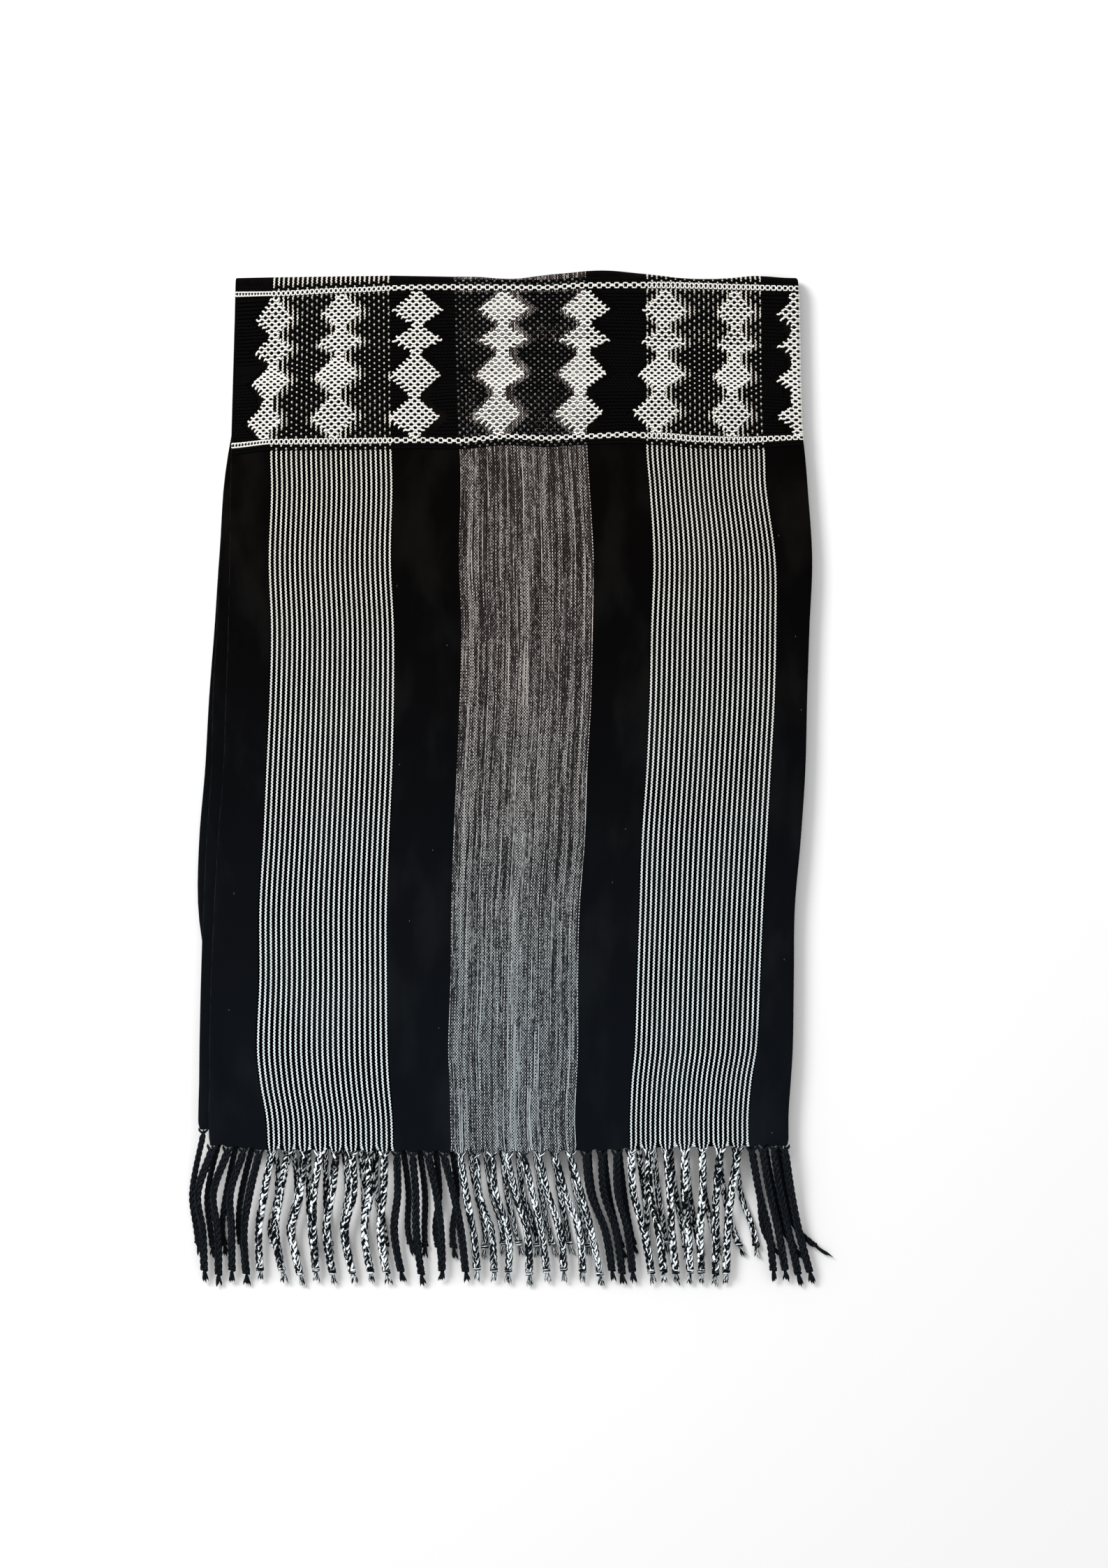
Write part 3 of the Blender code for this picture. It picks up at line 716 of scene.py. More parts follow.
def front_hem_y(x):
    """The front hem's line, from places across the stack."""
    i, t = steps_of(np.array([float(line_x(name, FRONT_DROP)) for name in BANDS]), x)
    return TOP_Y - FRONT_DROP + HEM_RISE[i] * (1 - t) + HEM_RISE[i + 1] * t


def lay_out(groups, end, root_y, seed):
    """Every braid of a row: its yarn, its places at four lines, and those lines."""
    draw = random.Random(seed)
    places = []
    for yarn, (count, *lines) in zip(BAND_YARNS, groups):
        steps = max(count - 1, 1)
        for k in range(count):
            row = []
            for level, (first, last) in enumerate(zip(lines[::2], lines[1::2])):
                room = max((last - first) / steps - BRAID_SPACING, 0.0) * LOOSE_SHARE
                loose = draw.uniform(-room, room) if level else 0.0
                row.append(first + (last - first) * k / steps + loose)
            places.append((yarn, row))
    draw = random.Random(seed + 1)
    braids = []
    for yarn, row in places:
        hem = TOP_Y - float(root_y(row[0]))
        knots = (hem + GAP + STRIP_DEPTH, MID_DOWN, LOW_DOWN,
                 end + draw.uniform(-END_SPREAD, END_SPREAD))
        braids.append((yarn, row, knots, hem))
    return braids


front_row = lay_out(FRONT_BRAIDS, FRONT_END, front_hem_y, SEED)
back_row = lay_out(BACK_BRAIDS, BACK_END, lambda x: TOP_Y - BACK_DROP, SEED + 10)
print(len(front_row), "braids in front and", len(back_row), "behind them")

# %% [markdown]
# Warp yarns gather into each braid, so the hem hangs in small scallops: low at every
# root and drawn up between roots. The pull is strongest at the very edge.

# %% Scallops of the hem
SCALLOP_RISE, SCALLOP_REACH, SCALLOP_POWER = 1.9, 5.0, 2.2
GATHER, GATHER_ENDS, LEAST_HALF_GAP = 0.24, 1.2, 2.5


def scallops(x, from_hem, roots):
    """How far points near a hem move across and up, for the roots that hang from it."""
    roots = np.asarray(roots, float)
    i = np.clip(np.searchsorted(roots, x), 1, len(roots) - 1)
    left, right = roots[i - 1], roots[i]
    nearest = np.where(x - left < right - x, left, right)
    gap = np.abs(x - nearest) / np.maximum((right - left) / 2, LEAST_HALF_GAP)
    pull = fade(from_hem, SCALLOP_REACH)
    rise = SCALLOP_RISE * np.minimum(gap, 1.0)**SCALLOP_POWER * pull
    return (nearest - x) * GATHER * pull * (gap < GATHER_ENDS), rise


# %% [markdown]
# The outer cloth is one sheet that runs from the hem, over the top fold, down the
# underside and round a small curl. Any point of it is found from its place on the flat
# cut and its height above the cloth, so a yarn can later be laid on the same surface.

# %% From the flat cut to the folded stack
ROLL_V = FRONT_DROP - ROLL_RADIUS
UNDER_V = ROLL_V + math.pi * ROLL_RADIUS
UNDER_LENGTH = UNDER_DROP - CURL_RADIUS - ROLL_RADIUS
CURL_V = UNDER_V + UNDER_LENGTH
END_V = CURL_V + math.pi * CURL_RADIUS
FRONT_ROOTS = [row[0] for yarn, row, knots, hem in front_row]


def over_the_fold(s, height, tuck):
    """Past the lip's start the cloth turns in: how far out it is, and its height."""
    past = np.maximum(s - LIP_START, 0.0)
    angle = np.minimum(past / LIP_RADIUS, LIP_TURN)
    run = np.maximum(past - LIP_RADIUS * LIP_TURN, 0.0) * tuck
    radius = LIP_RADIUS + height
    out = radius * np.sin(angle) + run * np.cos(angle)
    return out, radius * np.cos(angle) - LIP_RADIUS - run * np.sin(angle)


def cloth_place(s, v, height):
    """Points of the outer cloth, in millimetres."""
    tuck = fade(v - (CURL_V - TUCK_REACH), TUCK_REACH)
    out, height = over_the_fold(s, height, tuck)
    s = np.minimum(s, LIP_START)
    parts = [v <= ROLL_V, v <= UNDER_V, v <= CURL_V]
    down = np.select(parts, [FRONT_DROP - v, ROLL_RADIUS, ROLL_RADIUS + v - UNDER_V], UNDER_DROP)
    rise = top_rise(s, down)
    roll = (v - ROLL_V) / ROLL_RADIUS
    curl = (v - CURL_V) / CURL_RADIUS
    hem = across_bands(HEM_RISE, s) * fade(FRONT_DROP - down, HEM_REACH)
    y = np.select(parts, [
        TOP_Y - down + rise + hem,
        TOP_Y - ROLL_RADIUS + (ROLL_RADIUS + height) * np.sin(roll) + rise,
        TOP_Y - down + rise,
    ], TOP_Y - down + CURL_RADIUS - (CURL_RADIUS + height) * np.sin(curl))
    z = np.select(parts, [
        FRONT_TOP + height + front_lift(s, down),
        ROLL_RADIUS + (ROLL_RADIUS + height) * np.cos(roll),
        -height,
    ], CURL_RADIUS - (CURL_RADIUS + height) * np.cos(curl))
    x = cloth_x(s, down) + out
    aside, up = scallops(x, np.maximum(v, 0.0), FRONT_ROOTS)
    return np.stack((x + aside, y + up, z), axis=1)


print(f"the outer cloth is {END_V:.0f} mm long on the flat")

# %% [markdown]
# Every sheet of cloth starts as a flat grid whose own coordinates are the flat cut.
# Extruding it gives a second face. Rows lie close together at a rim, to round it, and
# evenly elsewhere.

# %% Flat grids
RIM_STEPS = (0.0, 0.15, 0.4, 0.9)


def steps_between(first, last, size):
    """Evenly spaced places from first to last, about a size apart."""
    count = max(int(round((last - first) / size)), 1)
    return list(np.linspace(first, last, count + 1))


def turn_steps(first, last, count):
    """A number of even steps round a turn, without its start."""
    return [first + (last - first) * (k + 1) / count for k in range(count)]


def between_rims(length, inset, size):
    """Places along a length with two rims: even steps inside, and close ones at each end."""
    inside = steps_between(inset, length - inset, size)
    return list(RIM_STEPS) + inside + [length - k for k in reversed(RIM_STEPS)]


def grid_places(mesh, columns, rows):
    """The numbers of each vertex's column and row on a grid mesh, and its height."""
    co = np.empty(len(mesh.vertices) * 3, np.float32)
    mesh.vertices.foreach_get("co", co)
    co = co.reshape(-1, 3).astype(float)
    column, row = (np.rint((co[:, k] + 1) / 2 * count).astype(int)
                   for k, count in enumerate((columns, rows)))
    return column, row, co[:, 2]


def store(bm, mesh):
    """Put a bmesh in a mesh with its faces turned outwards, and free it."""
    bmesh.ops.recalc_face_normals(bm, faces=bm.faces[:])
    bm.to_mesh(mesh)
    bm.free()


def flat_grid(columns, rows):
    """A grid mesh with two faces, on the flat cut, and the vertices' flat places."""
    bm = bmesh.new()
    bmesh.ops.create_grid(
        bm, x_segments=len(columns) - 1, y_segments=len(rows) - 1, size=1.0)
    bmesh.ops.extrude_face_region(bm, geom=bm.faces[:])
    bm.verts.ensure_lookup_table()
    for vert in bm.verts[len(bm.verts) // 2:]:
        vert.co.z = 1.0
    mesh = bpy.data.meshes.new("flat_cut")
    store(bm, mesh)
    i, j, level = grid_places(mesh, len(columns) - 1, len(rows) - 1)
    return mesh, np.asarray(columns)[i], np.asarray(rows)[j], level > 0.5


# %% [markdown]
# The flat coordinates become the UV map before the mesh is laid on its place. The rim is
# drawn in on both faces so that an edge is rounded. Each finished mesh is one piece.

# %% Pieces and sheets
SHOULDER, RIM_SHARE = 0.6, 0.75


def write_uv(mesh, u, v):
    """A UV map from one value pair for each vertex."""
    corners = np.empty(len(mesh.loops), np.int32)
    mesh.loops.foreach_get("vertex_index", corners)
    layer = mesh.uv_layers.new(name="UVMap")
    pairs = np.stack((u[corners], v[corners]), axis=1).astype(np.float32)
    layer.uv.foreach_set("vector", pairs.ravel())


def lay_points(mesh, points):
    """Move a mesh's vertices to points in millimetres."""
    mesh.vertices.foreach_set("co", (points * MM).astype(np.float32).ravel())


def show(name, mesh, material):
    """Make a finished mesh a piece of the object, riding on its one body."""
    mesh.name = name
    mesh.materials.append(material)
    mesh.polygons.foreach_set("use_smooth", np.ones(len(mesh.polygons), bool))
    piece = put_in_scene(name, mesh)
    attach(piece, "root")
    mesh.calc_loop_triangles()
    print(name, len(mesh.loop_triangles), "triangles")
    return piece


def lay_sheet(name, columns, rows, place, rim, material):
    """A sheet of cloth laid by a function of its flat places and its height."""
    mesh, s, v, inner = flat_grid(columns, rows)
    write_uv(mesh, s * MM, v * MM)
    depth = SHOULDER - np.sqrt(SHOULDER**2 - (SHOULDER - np.minimum(rim(s, v), SHOULDER))**2)
    depth = depth * RIM_SHARE
    lay_points(mesh, place(s, v, np.where(inner, -WALL + depth, -depth)))
    mesh.update()
    bm = bmesh.new()
    bm.from_mesh(mesh)
    store(bm, mesh)
    return show(name, mesh, material)


# %% [markdown]
# The outer cloth gets close columns and rows on the front, where it shows, and coarse
# rows on the underside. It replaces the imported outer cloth.

# %% The outer cloth
COLUMN_SIZE, COLUMN_INSET = 1.95, 1.9
FRONT_ROW_SIZE = 3.6
UNDER_ROW_SIZE = 36.0
HEM_ROWS, HEM_INSET = [2.0, 3.4, 5.2], 7.5
ROLL_STEPS, CURL_STEPS, LIP_STEPS = 14, 8, 6

lip_end = LIP_START + LIP_RADIUS * LIP_TURN
cloth_columns = list(RIM_STEPS) + steps_between(COLUMN_INSET, LIP_START, COLUMN_SIZE)
cloth_columns += turn_steps(LIP_START, lip_end, LIP_STEPS) + [lip_end + LIP_TUCK]
cloth_rows = list(RIM_STEPS) + HEM_ROWS + steps_between(HEM_INSET, ROLL_V, FRONT_ROW_SIZE)
cloth_rows += turn_steps(ROLL_V, UNDER_V, ROLL_STEPS)
cloth_rows += steps_between(UNDER_V, CURL_V, UNDER_ROW_SIZE)[1:]
cloth_rows += turn_steps(CURL_V, END_V, CURL_STEPS)

outer_cloth = lay_sheet(
    "shawl_cloth", cloth_columns, cloth_rows, cloth_place, np.minimum,
    woven_finish)
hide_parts("outer_cloth")

# %% [markdown]
# The half below is a plain flat layer that shows at the open side and at its own hem.

# %% The half below
EAST_INSET, NORTH_INSET = 2.6, 1.2
BACK_COLUMN_SIZE, BACK_ROW_SIZE = 2.9, 12.0
BACK_ROOTS = [row[0] for yarn, row, knots, hem in back_row]
back_length = TOP_Y - ROLL_RADIUS - NORTH_INSET - (TOP_Y - BACK_DROP)


def back_place(s, v, height):
    """Points of the half below, in millimetres."""
    y = TOP_Y - BACK_DROP + v
    down = TOP_Y - y
    west = line_x("edge", down) - line_x("second", down)
    east = line_x("fold", down) - EAST_INSET
    x = west + (east - west) * s / HALF_WIDTH
    aside, up = scallops(x, v, BACK_ROOTS)
    return np.stack((x + aside, y + up, BACK_TOP + height), axis=1)


back_columns = between_rims(HALF_WIDTH, COLUMN_INSET, BACK_COLUMN_SIZE)
back_rows = list(RIM_STEPS) + HEM_ROWS + steps_between(HEM_INSET, back_length, BACK_ROW_SIZE)
back_half = lay_sheet(
    "back_half_cloth", back_columns, back_rows, back_place,
    lambda s, v: np.minimum(np.minimum(s, HALF_WIDTH - s), v), woven_finish)
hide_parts("back_half")

# %% [markdown]
# Five more layers lie inside the stack. Only their edges show, so each is a thin sheet
# with rounded rims, and all five are one piece.

# %% The layers inside
LAYER_SETBACK, HIDDEN_SOUTH, CURLED_SOUTH, HIDDEN_EAST_INSET = 0.9, 2.5, 7.1, 4.2
LAYER_INSET, LAYER_COLUMN_SIZE, LAYER_ROW_SIZE = 6, 24.0, 12.0
inner_finish = cloth_finish("inner_cotton")


def layer_place(layer):
    """The laying function of one hidden layer, counted from the floor."""
    bottom = HIDDEN_BOTTOM + layer * LAYER_STEP
    middle = HIDDEN_BOTTOM + (HIDDEN_LAYERS * LAYER_STEP - GAP) / 2
    bulge = math.sqrt(max((middle - HIDDEN_BOTTOM)**2 - (bottom + WALL / 2 - middle)**2, 0.0))
    south = TOP_Y - UNDER_DROP + (HIDDEN_SOUTH if bottom > 2 * CURL_RADIUS else CURLED_SOUTH)
    north = TOP_Y - ROLL_RADIUS - NORTH_INSET + bulge
    setback = LAYER_SETBACK * (HIDDEN_LAYERS - layer)

    def place(s, v, height):
        y = south + (north - south) * v / UNDER_DROP
        down = TOP_Y - y
        out = line_x("third", down) if layer == HIDDEN_LAYERS - 1 else -setback
        west = line_x("edge", down) - out
        east = line_x("fold", down) - HIDDEN_EAST_INSET
        x = west + (east - west) * s / HALF_WIDTH
        return np.stack((x, y, bottom + WALL + height), axis=1)

    return place


def rim_of_layer(s, v):
    """Distance to a hidden layer's nearest edge."""
    return np.minimum(np.minimum(s, HALF_WIDTH - s), np.minimum(v, UNDER_DROP - v))


layer_columns = between_rims(HALF_WIDTH, LAYER_INSET, LAYER_COLUMN_SIZE)
layer_rows = between_rims(UNDER_DROP, LAYER_INSET, LAYER_ROW_SIZE)
layers = [
    lay_sheet(f"layer_{k}", layer_columns, layer_rows, layer_place(k),
              rim_of_layer, inner_finish)
    for k in range(HIDDEN_LAYERS)
]


def join(name, pieces):
    """Several pieces made one, under a new name."""
    bpy.ops.object.select_all(action="DESELECT")
    for piece in pieces:
        piece.select_set(True)
    bpy.context.view_layer.objects.active = pieces[0]
    bpy.ops.object.join()
    pieces[0].name = name
    pieces[0].data.name = name
    return pieces[0]


inner_layers = join("inner_layers", layers)
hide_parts("folded_layers")

# %% [markdown]
# Hundreds of yarns make the brocade and the fringe. One grid can hold them all: each
# run of grid rows becomes one tube. The faces that would bridge two tubes are deleted,
# the tube is rolled up round its path, and merging doubles closes its seam and its
# ends. That is far quicker than an object for each yarn.

# %% Tube builder
SLIP = 7.3


def ring_frames(path):
    """Unit vectors along a path, to its side and above it, at each point."""
    ahead = np.gradient(path, axis=0)
    ahead /= np.linalg.norm(ahead, axis=1)[:, None]
    side = np.cross(ahead, (0.0, 0.0, 1.0))
    side /= np.maximum(np.linalg.norm(side, axis=1), 1e-9)[:, None]
    return side, np.cross(side, ahead)


def lengths_along(path):
    """The length of a path up to each of its points."""
    return np.concatenate(([0.0], np.cumsum(np.linalg.norm(np.diff(path, axis=0), axis=1))))


def tube_sizes(sizes, paths):
    """A size for each point of every path, shrunk to nothing at both ends."""
    found = []
    for size, path in zip(sizes, paths):
        values = size + np.zeros(len(path))
        values[0] = values[-1] = 0.0
        found.append(values)
    return np.concatenate(found)


def lay_tubes(name, paths, widths, thicks, sides, material, slot):
    """One piece of many closed tubes, each with its path, half widths and half heights."""
    counts = [len(path) for path in paths]
    last = sum(counts) - 1
    bm = bmesh.new()
    bmesh.ops.create_grid(bm, x_segments=sides, y_segments=last, size=1.0)
    breaks = set(np.cumsum(counts)[:-1] - 1)
    bridging = []
    for face in bm.faces:
        low = min(corner.co.y for corner in face.verts)
        if int(round((low + 1) / 2 * last)) in breaks:
            bridging.append(face)
    bmesh.ops.delete(bm, geom=bridging, context="FACES")
    mesh = bpy.data.meshes.new(name)
    bm.to_mesh(mesh)
    bm.free()
    around, ring, level = grid_places(mesh, sides, last)
    centre = np.concatenate(paths)
    side, above = (np.concatenate(part) for part in zip(*map(ring_frames, paths)))
    length = np.concatenate([lengths_along(path) for path in paths])
    shift = np.repeat(np.arange(len(paths)) * SLIP, counts)
    wide, thick = tube_sizes(widths, paths), tube_sizes(thicks, paths)
    angle = around % sides / sides * 2 * math.pi
    write_uv(mesh, around / sides, (length + shift)[ring] * MM)
    lay_points(mesh, centre[ring] + side[ring] * (wide[ring] * np.cos(angle))[:, None]
               + above[ring] * (thick[ring] * np.sin(angle))[:, None])
    bm = bmesh.new()
    bm.from_mesh(mesh)
    bmesh.ops.remove_doubles(bm, verts=bm.verts[:], dist=1e-7)
    store(bm, mesh)
    return show(name, mesh, material)


# %% [markdown]
# The weft wanders across the cloth, and a table says how: each line of it is one row of
# the brocade, and the numbers are its distances below the top fold at places across.
# Rows of yarn are laid on these lines, so diamonds and chain lines bend together.

# %% Lines of the weft
WEFT_SOFT = 0.6
WEFT_LINES = (7.0, 9.3, 21.8, 31.8, 40.4, 48.5, 63.8, 77.6, 90.9, 102.5, 105.4)
WEFT_PLACES = np.array((0.0, 29.0, 74.0, 126.0, 150.0, 182.0, 208.0, 234.5, 260.0, 285.0,
                        310.0, 335.0, HALF_WIDTH))
WEFT_DOWNS = (
    (11.3, 14.5, 29.5, 39.7, 49.0, 58.4, 69.5, 81.8, 95.0, 105.0, 109.3),
    (11.1, 13.3, 28.2, 38.4, 47.8, 57.1, 68.2, 80.5, 93.6, 103.5, 106.5),
    (9.1, 11.1, 23.5, 33.4, 41.8, 50.1, 62.5, 75.2, 90.1, 102.5, 106.2),
    (7.0, 9.1, 21.8, 31.8, 40.4, 48.5, 63.8, 77.6, 90.9, 102.5, 105.4),
    (6.8, 9.4, 21.4, 31.4, 40.4, 48.3, 63.5, 76.0, 90.0, 102.6, 105.8),
    (6.9, 9.7, 20.9, 30.9, 40.3, 48.0, 62.8, 73.9, 88.4, 100.3, 102.9),
    (7.2, 9.4, 20.9, 30.6, 40.3, 47.8, 62.5, 74.0, 88.1, 101.0, 104.2),
    (5.6, 8.4, 20.9, 30.3, 40.3, 47.5, 62.2, 74.1, 87.8, 100.3, 102.9),
    (5.4, 8.3, 21.4, 31.0, 41.0, 48.3, 62.4, 73.7, 87.3, 98.8, 101.9),
    (5.2, 8.4, 22.2, 31.9, 42.2, 49.4, 62.8, 73.4, 87.2, 99.0, 103.1),
    (5.9, 8.6, 22.6, 32.6, 43.2, 50.3, 63.7, 73.9, 88.1, 100.6, 105.0),
    (6.7, 9.1, 23.1, 33.4, 44.3, 51.2, 64.7, 74.6, 89.1, 101.5, 105.9),
    (7.8, 9.9, 24.7, 36.0, 44.5, 53.0, 66.5, 78.0, 90.3, 101.5, 103.4),
)


def weft_down(s, line):
    """The distance below the top fold of weft lines at places across the cloth."""
    s, line = np.broadcast_arrays(np.asarray(s, float), np.asarray(line, float))
    beyond = line - np.clip(line, WEFT_LINES[0], WEFT_LINES[-1])
    columns = np.array([np.interp(line, WEFT_LINES, column) for column in WEFT_DOWNS])
    i, t = steps_of(WEFT_PLACES, s)
    t = np.clip(t, 0.0, 1.0)
    t = (1 - WEFT_SOFT) * t + WEFT_SOFT * t * t * (3 - 2 * t)
    points = np.arange(len(s))
    return columns[i, points] * (1 - t) + columns[i + 1, points] * t + beyond
def on_weft(s, line, height):
    """Points on the front of the outer cloth, from places across and weft lines."""
    wanted = weft_down(s, line)
    across = np.minimum(s, LIP_START)
    down = wanted
    for _ in range(4):
        down = wanted + top_rise(across, down)
    return cloth_place(s, FRONT_DROP - down, height)


print(len(WEFT_LINES), "lines of weft known at", len(WEFT_PLACES), "places")

# %% [markdown]
# The diamonds are rows of thick white yarn laid over the cloth while it was woven.
# Each row steps up and down, and its neighbours step the other way, so small square
# windows open between them like bricks. Flat black rows below keep the windows dark.
# A row is as long as the diamond is wide at that height.

# %% White diamonds
DIAMOND_LINES = (
    (9.3, 21.8, 31.8), (31.8, 40.4, 48.5), (48.5, 63.8, 77.6), (77.6, 90.9, 102.5))
DIAMONDS = (
    ((29.1, 29.0, 27.3, 22.9), (13.4, 13.7, 13.7, 12.1)),
    ((75.4, 74.3, 71.7, 69.9), (13.6, 15.4, 15.4, 16.1)),
    ((126.7, 126.0, 124.1, 122.9), (17.2, 17.4, 17.0, 17.4)),
    ((182.5, 181.7, 179.5, 177.1), (16.9, 16.6, 16.3, 15.9)),
    ((235.3, 234.6, 232.7, 230.2), (15.4, 16.8, 16.3, 16.4)),
    ((286.3, 285.2, 284.2, 280.3), (16.2, 15.8, 16.6, 16.4)),
    ((335.6, 335.9, 333.9, 331.9), (13.1, 13.6, 13.8, 14.4)),
    ((379.5, 379.5, 379.5, 379.5), (17.0, 17.0, 17.5, 18.0)),
)
NECKS = (4.0, 4.0, 4.0, 4.2, 4.0, 4.2, 4.0, 9.0)
ROW_PITCH = 2.14
WINDOW_PITCH = 4.8
ROW_SWING, ROW_SQUARE = 0.40, 5.0
ROW_KEYS = np.array((0.0, 0.32, 1.571, 2.82, 3.142, 3.46, 4.712, 5.96))
YARN_WIDE, YARN_THICK = 0.67, 0.48
YARN_LIFT = 0.42
YARN_WAVE, ROW_START, ROW_OVER = 0.12, 1.5, 2.6
HOOK_LENGTH, HOOK_DROP, HOOK_DIP = 2.4, 1.9, 0.25
POINT_SHARE = 0.1


def diamond(column, line):
    """The middle and the half width of a column of diamonds on a weft line."""
    middles = [row[1] for row in DIAMOND_LINES]
    centre, widest = (float(smooth(middles, values, line)) for values in DIAMONDS[column])
    neck = NECKS[column]
    for top, middle, bottom in DIAMOND_LINES:
        if top <= line <= bottom:
            end = top if line <= middle else bottom
            share = (line - end) / (middle - end)
            return centre, max(widest * (POINT_SHARE + (1 - POINT_SHARE) * share), neck)
    return centre, neck


def below_middle(line):
    """Whether a row lies in the lower half of its diamond."""
    return any(middle < line <= bottom for top, middle, bottom in DIAMOND_LINES)


def diamonds_on(line):
    """The middle and the half width of every column of diamonds on a weft line."""
    return [diamond(column, line) for column in range(len(DIAMONDS))]


def white_row(first, last, line, phase, hook):
    """The path of one white yarn that steps up and down across the cloth."""
    ends = [2 * math.pi * s / WINDOW_PITCH + phase for s in (first, last)]
    turn = (ROW_KEYS + 2 * math.pi * np.arange(-2, 90)[:, None]).ravel()
    turn = turn[(turn > ends[0] + 0.25) & (turn < ends[1] - 0.25)]
    turn = np.concatenate((ends[:1], turn, ends[1:]))
    s = (turn - phase) * WINDOW_PITCH / (2 * math.pi)
    lines = line + ROW_SWING * np.tanh(ROW_SQUARE * np.sin(turn))
    height = YARN_LIFT + YARN_WAVE * np.cos(2 * turn)
    if hook:
        bend = np.clip(1 - (s - first) / HOOK_LENGTH, 0.0, 1.0)
        lines = lines + HOOK_DROP * bend**2
        height = height - HOOK_DIP * bend
    return on_weft(s, lines, height)


def brocade_lines():
    """The weft lines of the brocade's rows, from the upper chain to the lower one."""
    return np.arange(10.8, 103.4, ROW_PITCH)


def white_rows():
    """Paths of every white row."""
    draw = random.Random(SEED + 20)
    paths = []
    for number, line in enumerate(brocade_lines()):
        for neck, (middle, half) in zip(NECKS, diamonds_on(line)):
            first = max(middle - half + draw.uniform(-0.5, 0.5), ROW_START)
            last = min(middle + half + draw.uniform(-0.4, 0.4), LIP_START + ROW_OVER)
            hook = below_middle(line) and half > neck
            paths.append(white_row(first, last, line, math.pi * (number % 2), hook))
    return paths


def lay_yarns(name, paths, wide, thick, sides, material):
    """One piece of many yarns of the same size, laid on the cloth."""
    count = len(paths)
    return lay_tubes(
        name, paths, [wide] * count, [thick] * count, sides, material, "woven_cloth")


white_diamonds = lay_yarns(
    "white_diamonds", white_rows(), YARN_WIDE, YARN_THICK, 5, white_yarn)
# %% [markdown]
# Between the diamonds the same rows are black. They stop short of the white ones, so
# that the plain warp shows beside each diamond like a halo, mostly on its right and at
# its lower left. A few black rows also run right across, beyond each chain line.

# %% Black ground of the brocade
HALO_LEFT_TOP, HALO_LEFT_LOW, HALO_RIGHT = 1.2, 3.2, 4.4
GROUND_ENDS, SHORTEST_SPAN = (0.8, LIP_START + 1.5), 2.5
GROUND_WIDE, GROUND_THICK, GROUND_LIFT, GROUND_STEP = 1.06, 0.22, 0.40, 1.6
UNDER_WIDE, UNDER_THICK, UNDER_LIFT, UNDER_STEP, UNDER_INSET = 1.12, 0.2, 0.12, 3.0, 0.7
UNDER_CHAIN = (-0.9, 0.9)
CHAINS = (WEFT_LINES[0], WEFT_LINES[-1])
OUTER_LINES = (CHAINS[0] - 4.2, CHAINS[0] - 2.5, CHAINS[1] + 2.6, CHAINS[1] + 4.5)


def ground_spans():
    """Each row's number and line, with the spans where its yarn is black."""
    rows = []
    for number, line in enumerate(brocade_lines()):
        spans, start = [], GROUND_ENDS[0]
        for middle, half in diamonds_on(line):
            left = half + (HALO_LEFT_LOW if below_middle(line) else HALO_LEFT_TOP)
            spans.append((start, middle - left))
            start = middle + half + HALO_RIGHT
        spans.append((start, GROUND_ENDS[1]))
        wide = [span for span in spans if span[1] - span[0] > SHORTEST_SPAN]
        rows.append((number, line, wide))
    return rows + [(number, line, [GROUND_ENDS]) for number, line in enumerate(OUTER_LINES)]


def under_spans():
    """Flat black rows below the diamonds and the chain lines."""
    rows = [(*GROUND_ENDS, line + off) for line in CHAINS for off in UNDER_CHAIN]
    for line in brocade_lines():
        for middle, half in diamonds_on(line):
            half = half - UNDER_INSET
            rows.append((max(middle - half, ROW_START), min(middle + half, GROUND_ENDS[1]), line))
    return rows


def flat_row(first, last, line, height, step):
    """The path of a plain yarn along a weft line."""
    s = np.linspace(first, last, max(int((last - first) / step), 2) + 1)
    return on_weft(s, line, height)


ground_paths = [
    flat_row(first, last, line, GROUND_LIFT, GROUND_STEP)
    for number, line, spans in ground_spans() for first, last in spans]
black_ground = lay_yarns(
    "black_ground", ground_paths, GROUND_WIDE, GROUND_THICK, 5, black_yarn)
black_under = lay_yarns(
    "black_under", [flat_row(*span, UNDER_LIFT, UNDER_STEP) for span in under_spans()],
    UNDER_WIDE, UNDER_THICK, 4, black_yarn)

# %% [markdown]
# Warp yarns come up over the rows in small floats, set like bricks. On the black rows
# of the pinstripe bands they are the white yarns, one float on a stripe at every second
# row, and in the marl band they are wider and greyer. On the diamonds they are dark,
# and each one fills a window between two white rows.

# %% Floats of the warp
FLOAT_HALF, FLOAT_LIFT, FLOAT_DIP, FLOAT_THICK = 0.78, 0.58, 0.55, 0.28
FLOAT_OVER, FLOAT_POINTS = 0.6, 6
PIN_FLOAT_WIDE, MARL_FLOAT_WIDE, MARL_FLOAT_PITCH = 0.58, 0.80, 2.5
WINDOW_HALF, WINDOW_TALL, WINDOW_LIFT, WINDOW_DIP, WINDOW_THICK = 1.05, 0.80, 0.92, 0.2, 0.2
WINDOW_ROOM, WINDOW_ENDS = 0.2, (2.0, LIP_START + 1.0)


def float_places(band, pitch):
    """Where the floats of a band come up: distances across and down."""
    count = int(round((band[1] - band[0]) / pitch))
    found = []
    for number, line, spans in ground_spans():
        for k in range(number % 2, count, 2):
            s = band[0] + pitch * (k + 0.5)
            if any(first - FLOAT_OVER < s < last + FLOAT_OVER for first, last in spans):
                found.append((s, line))
    return found


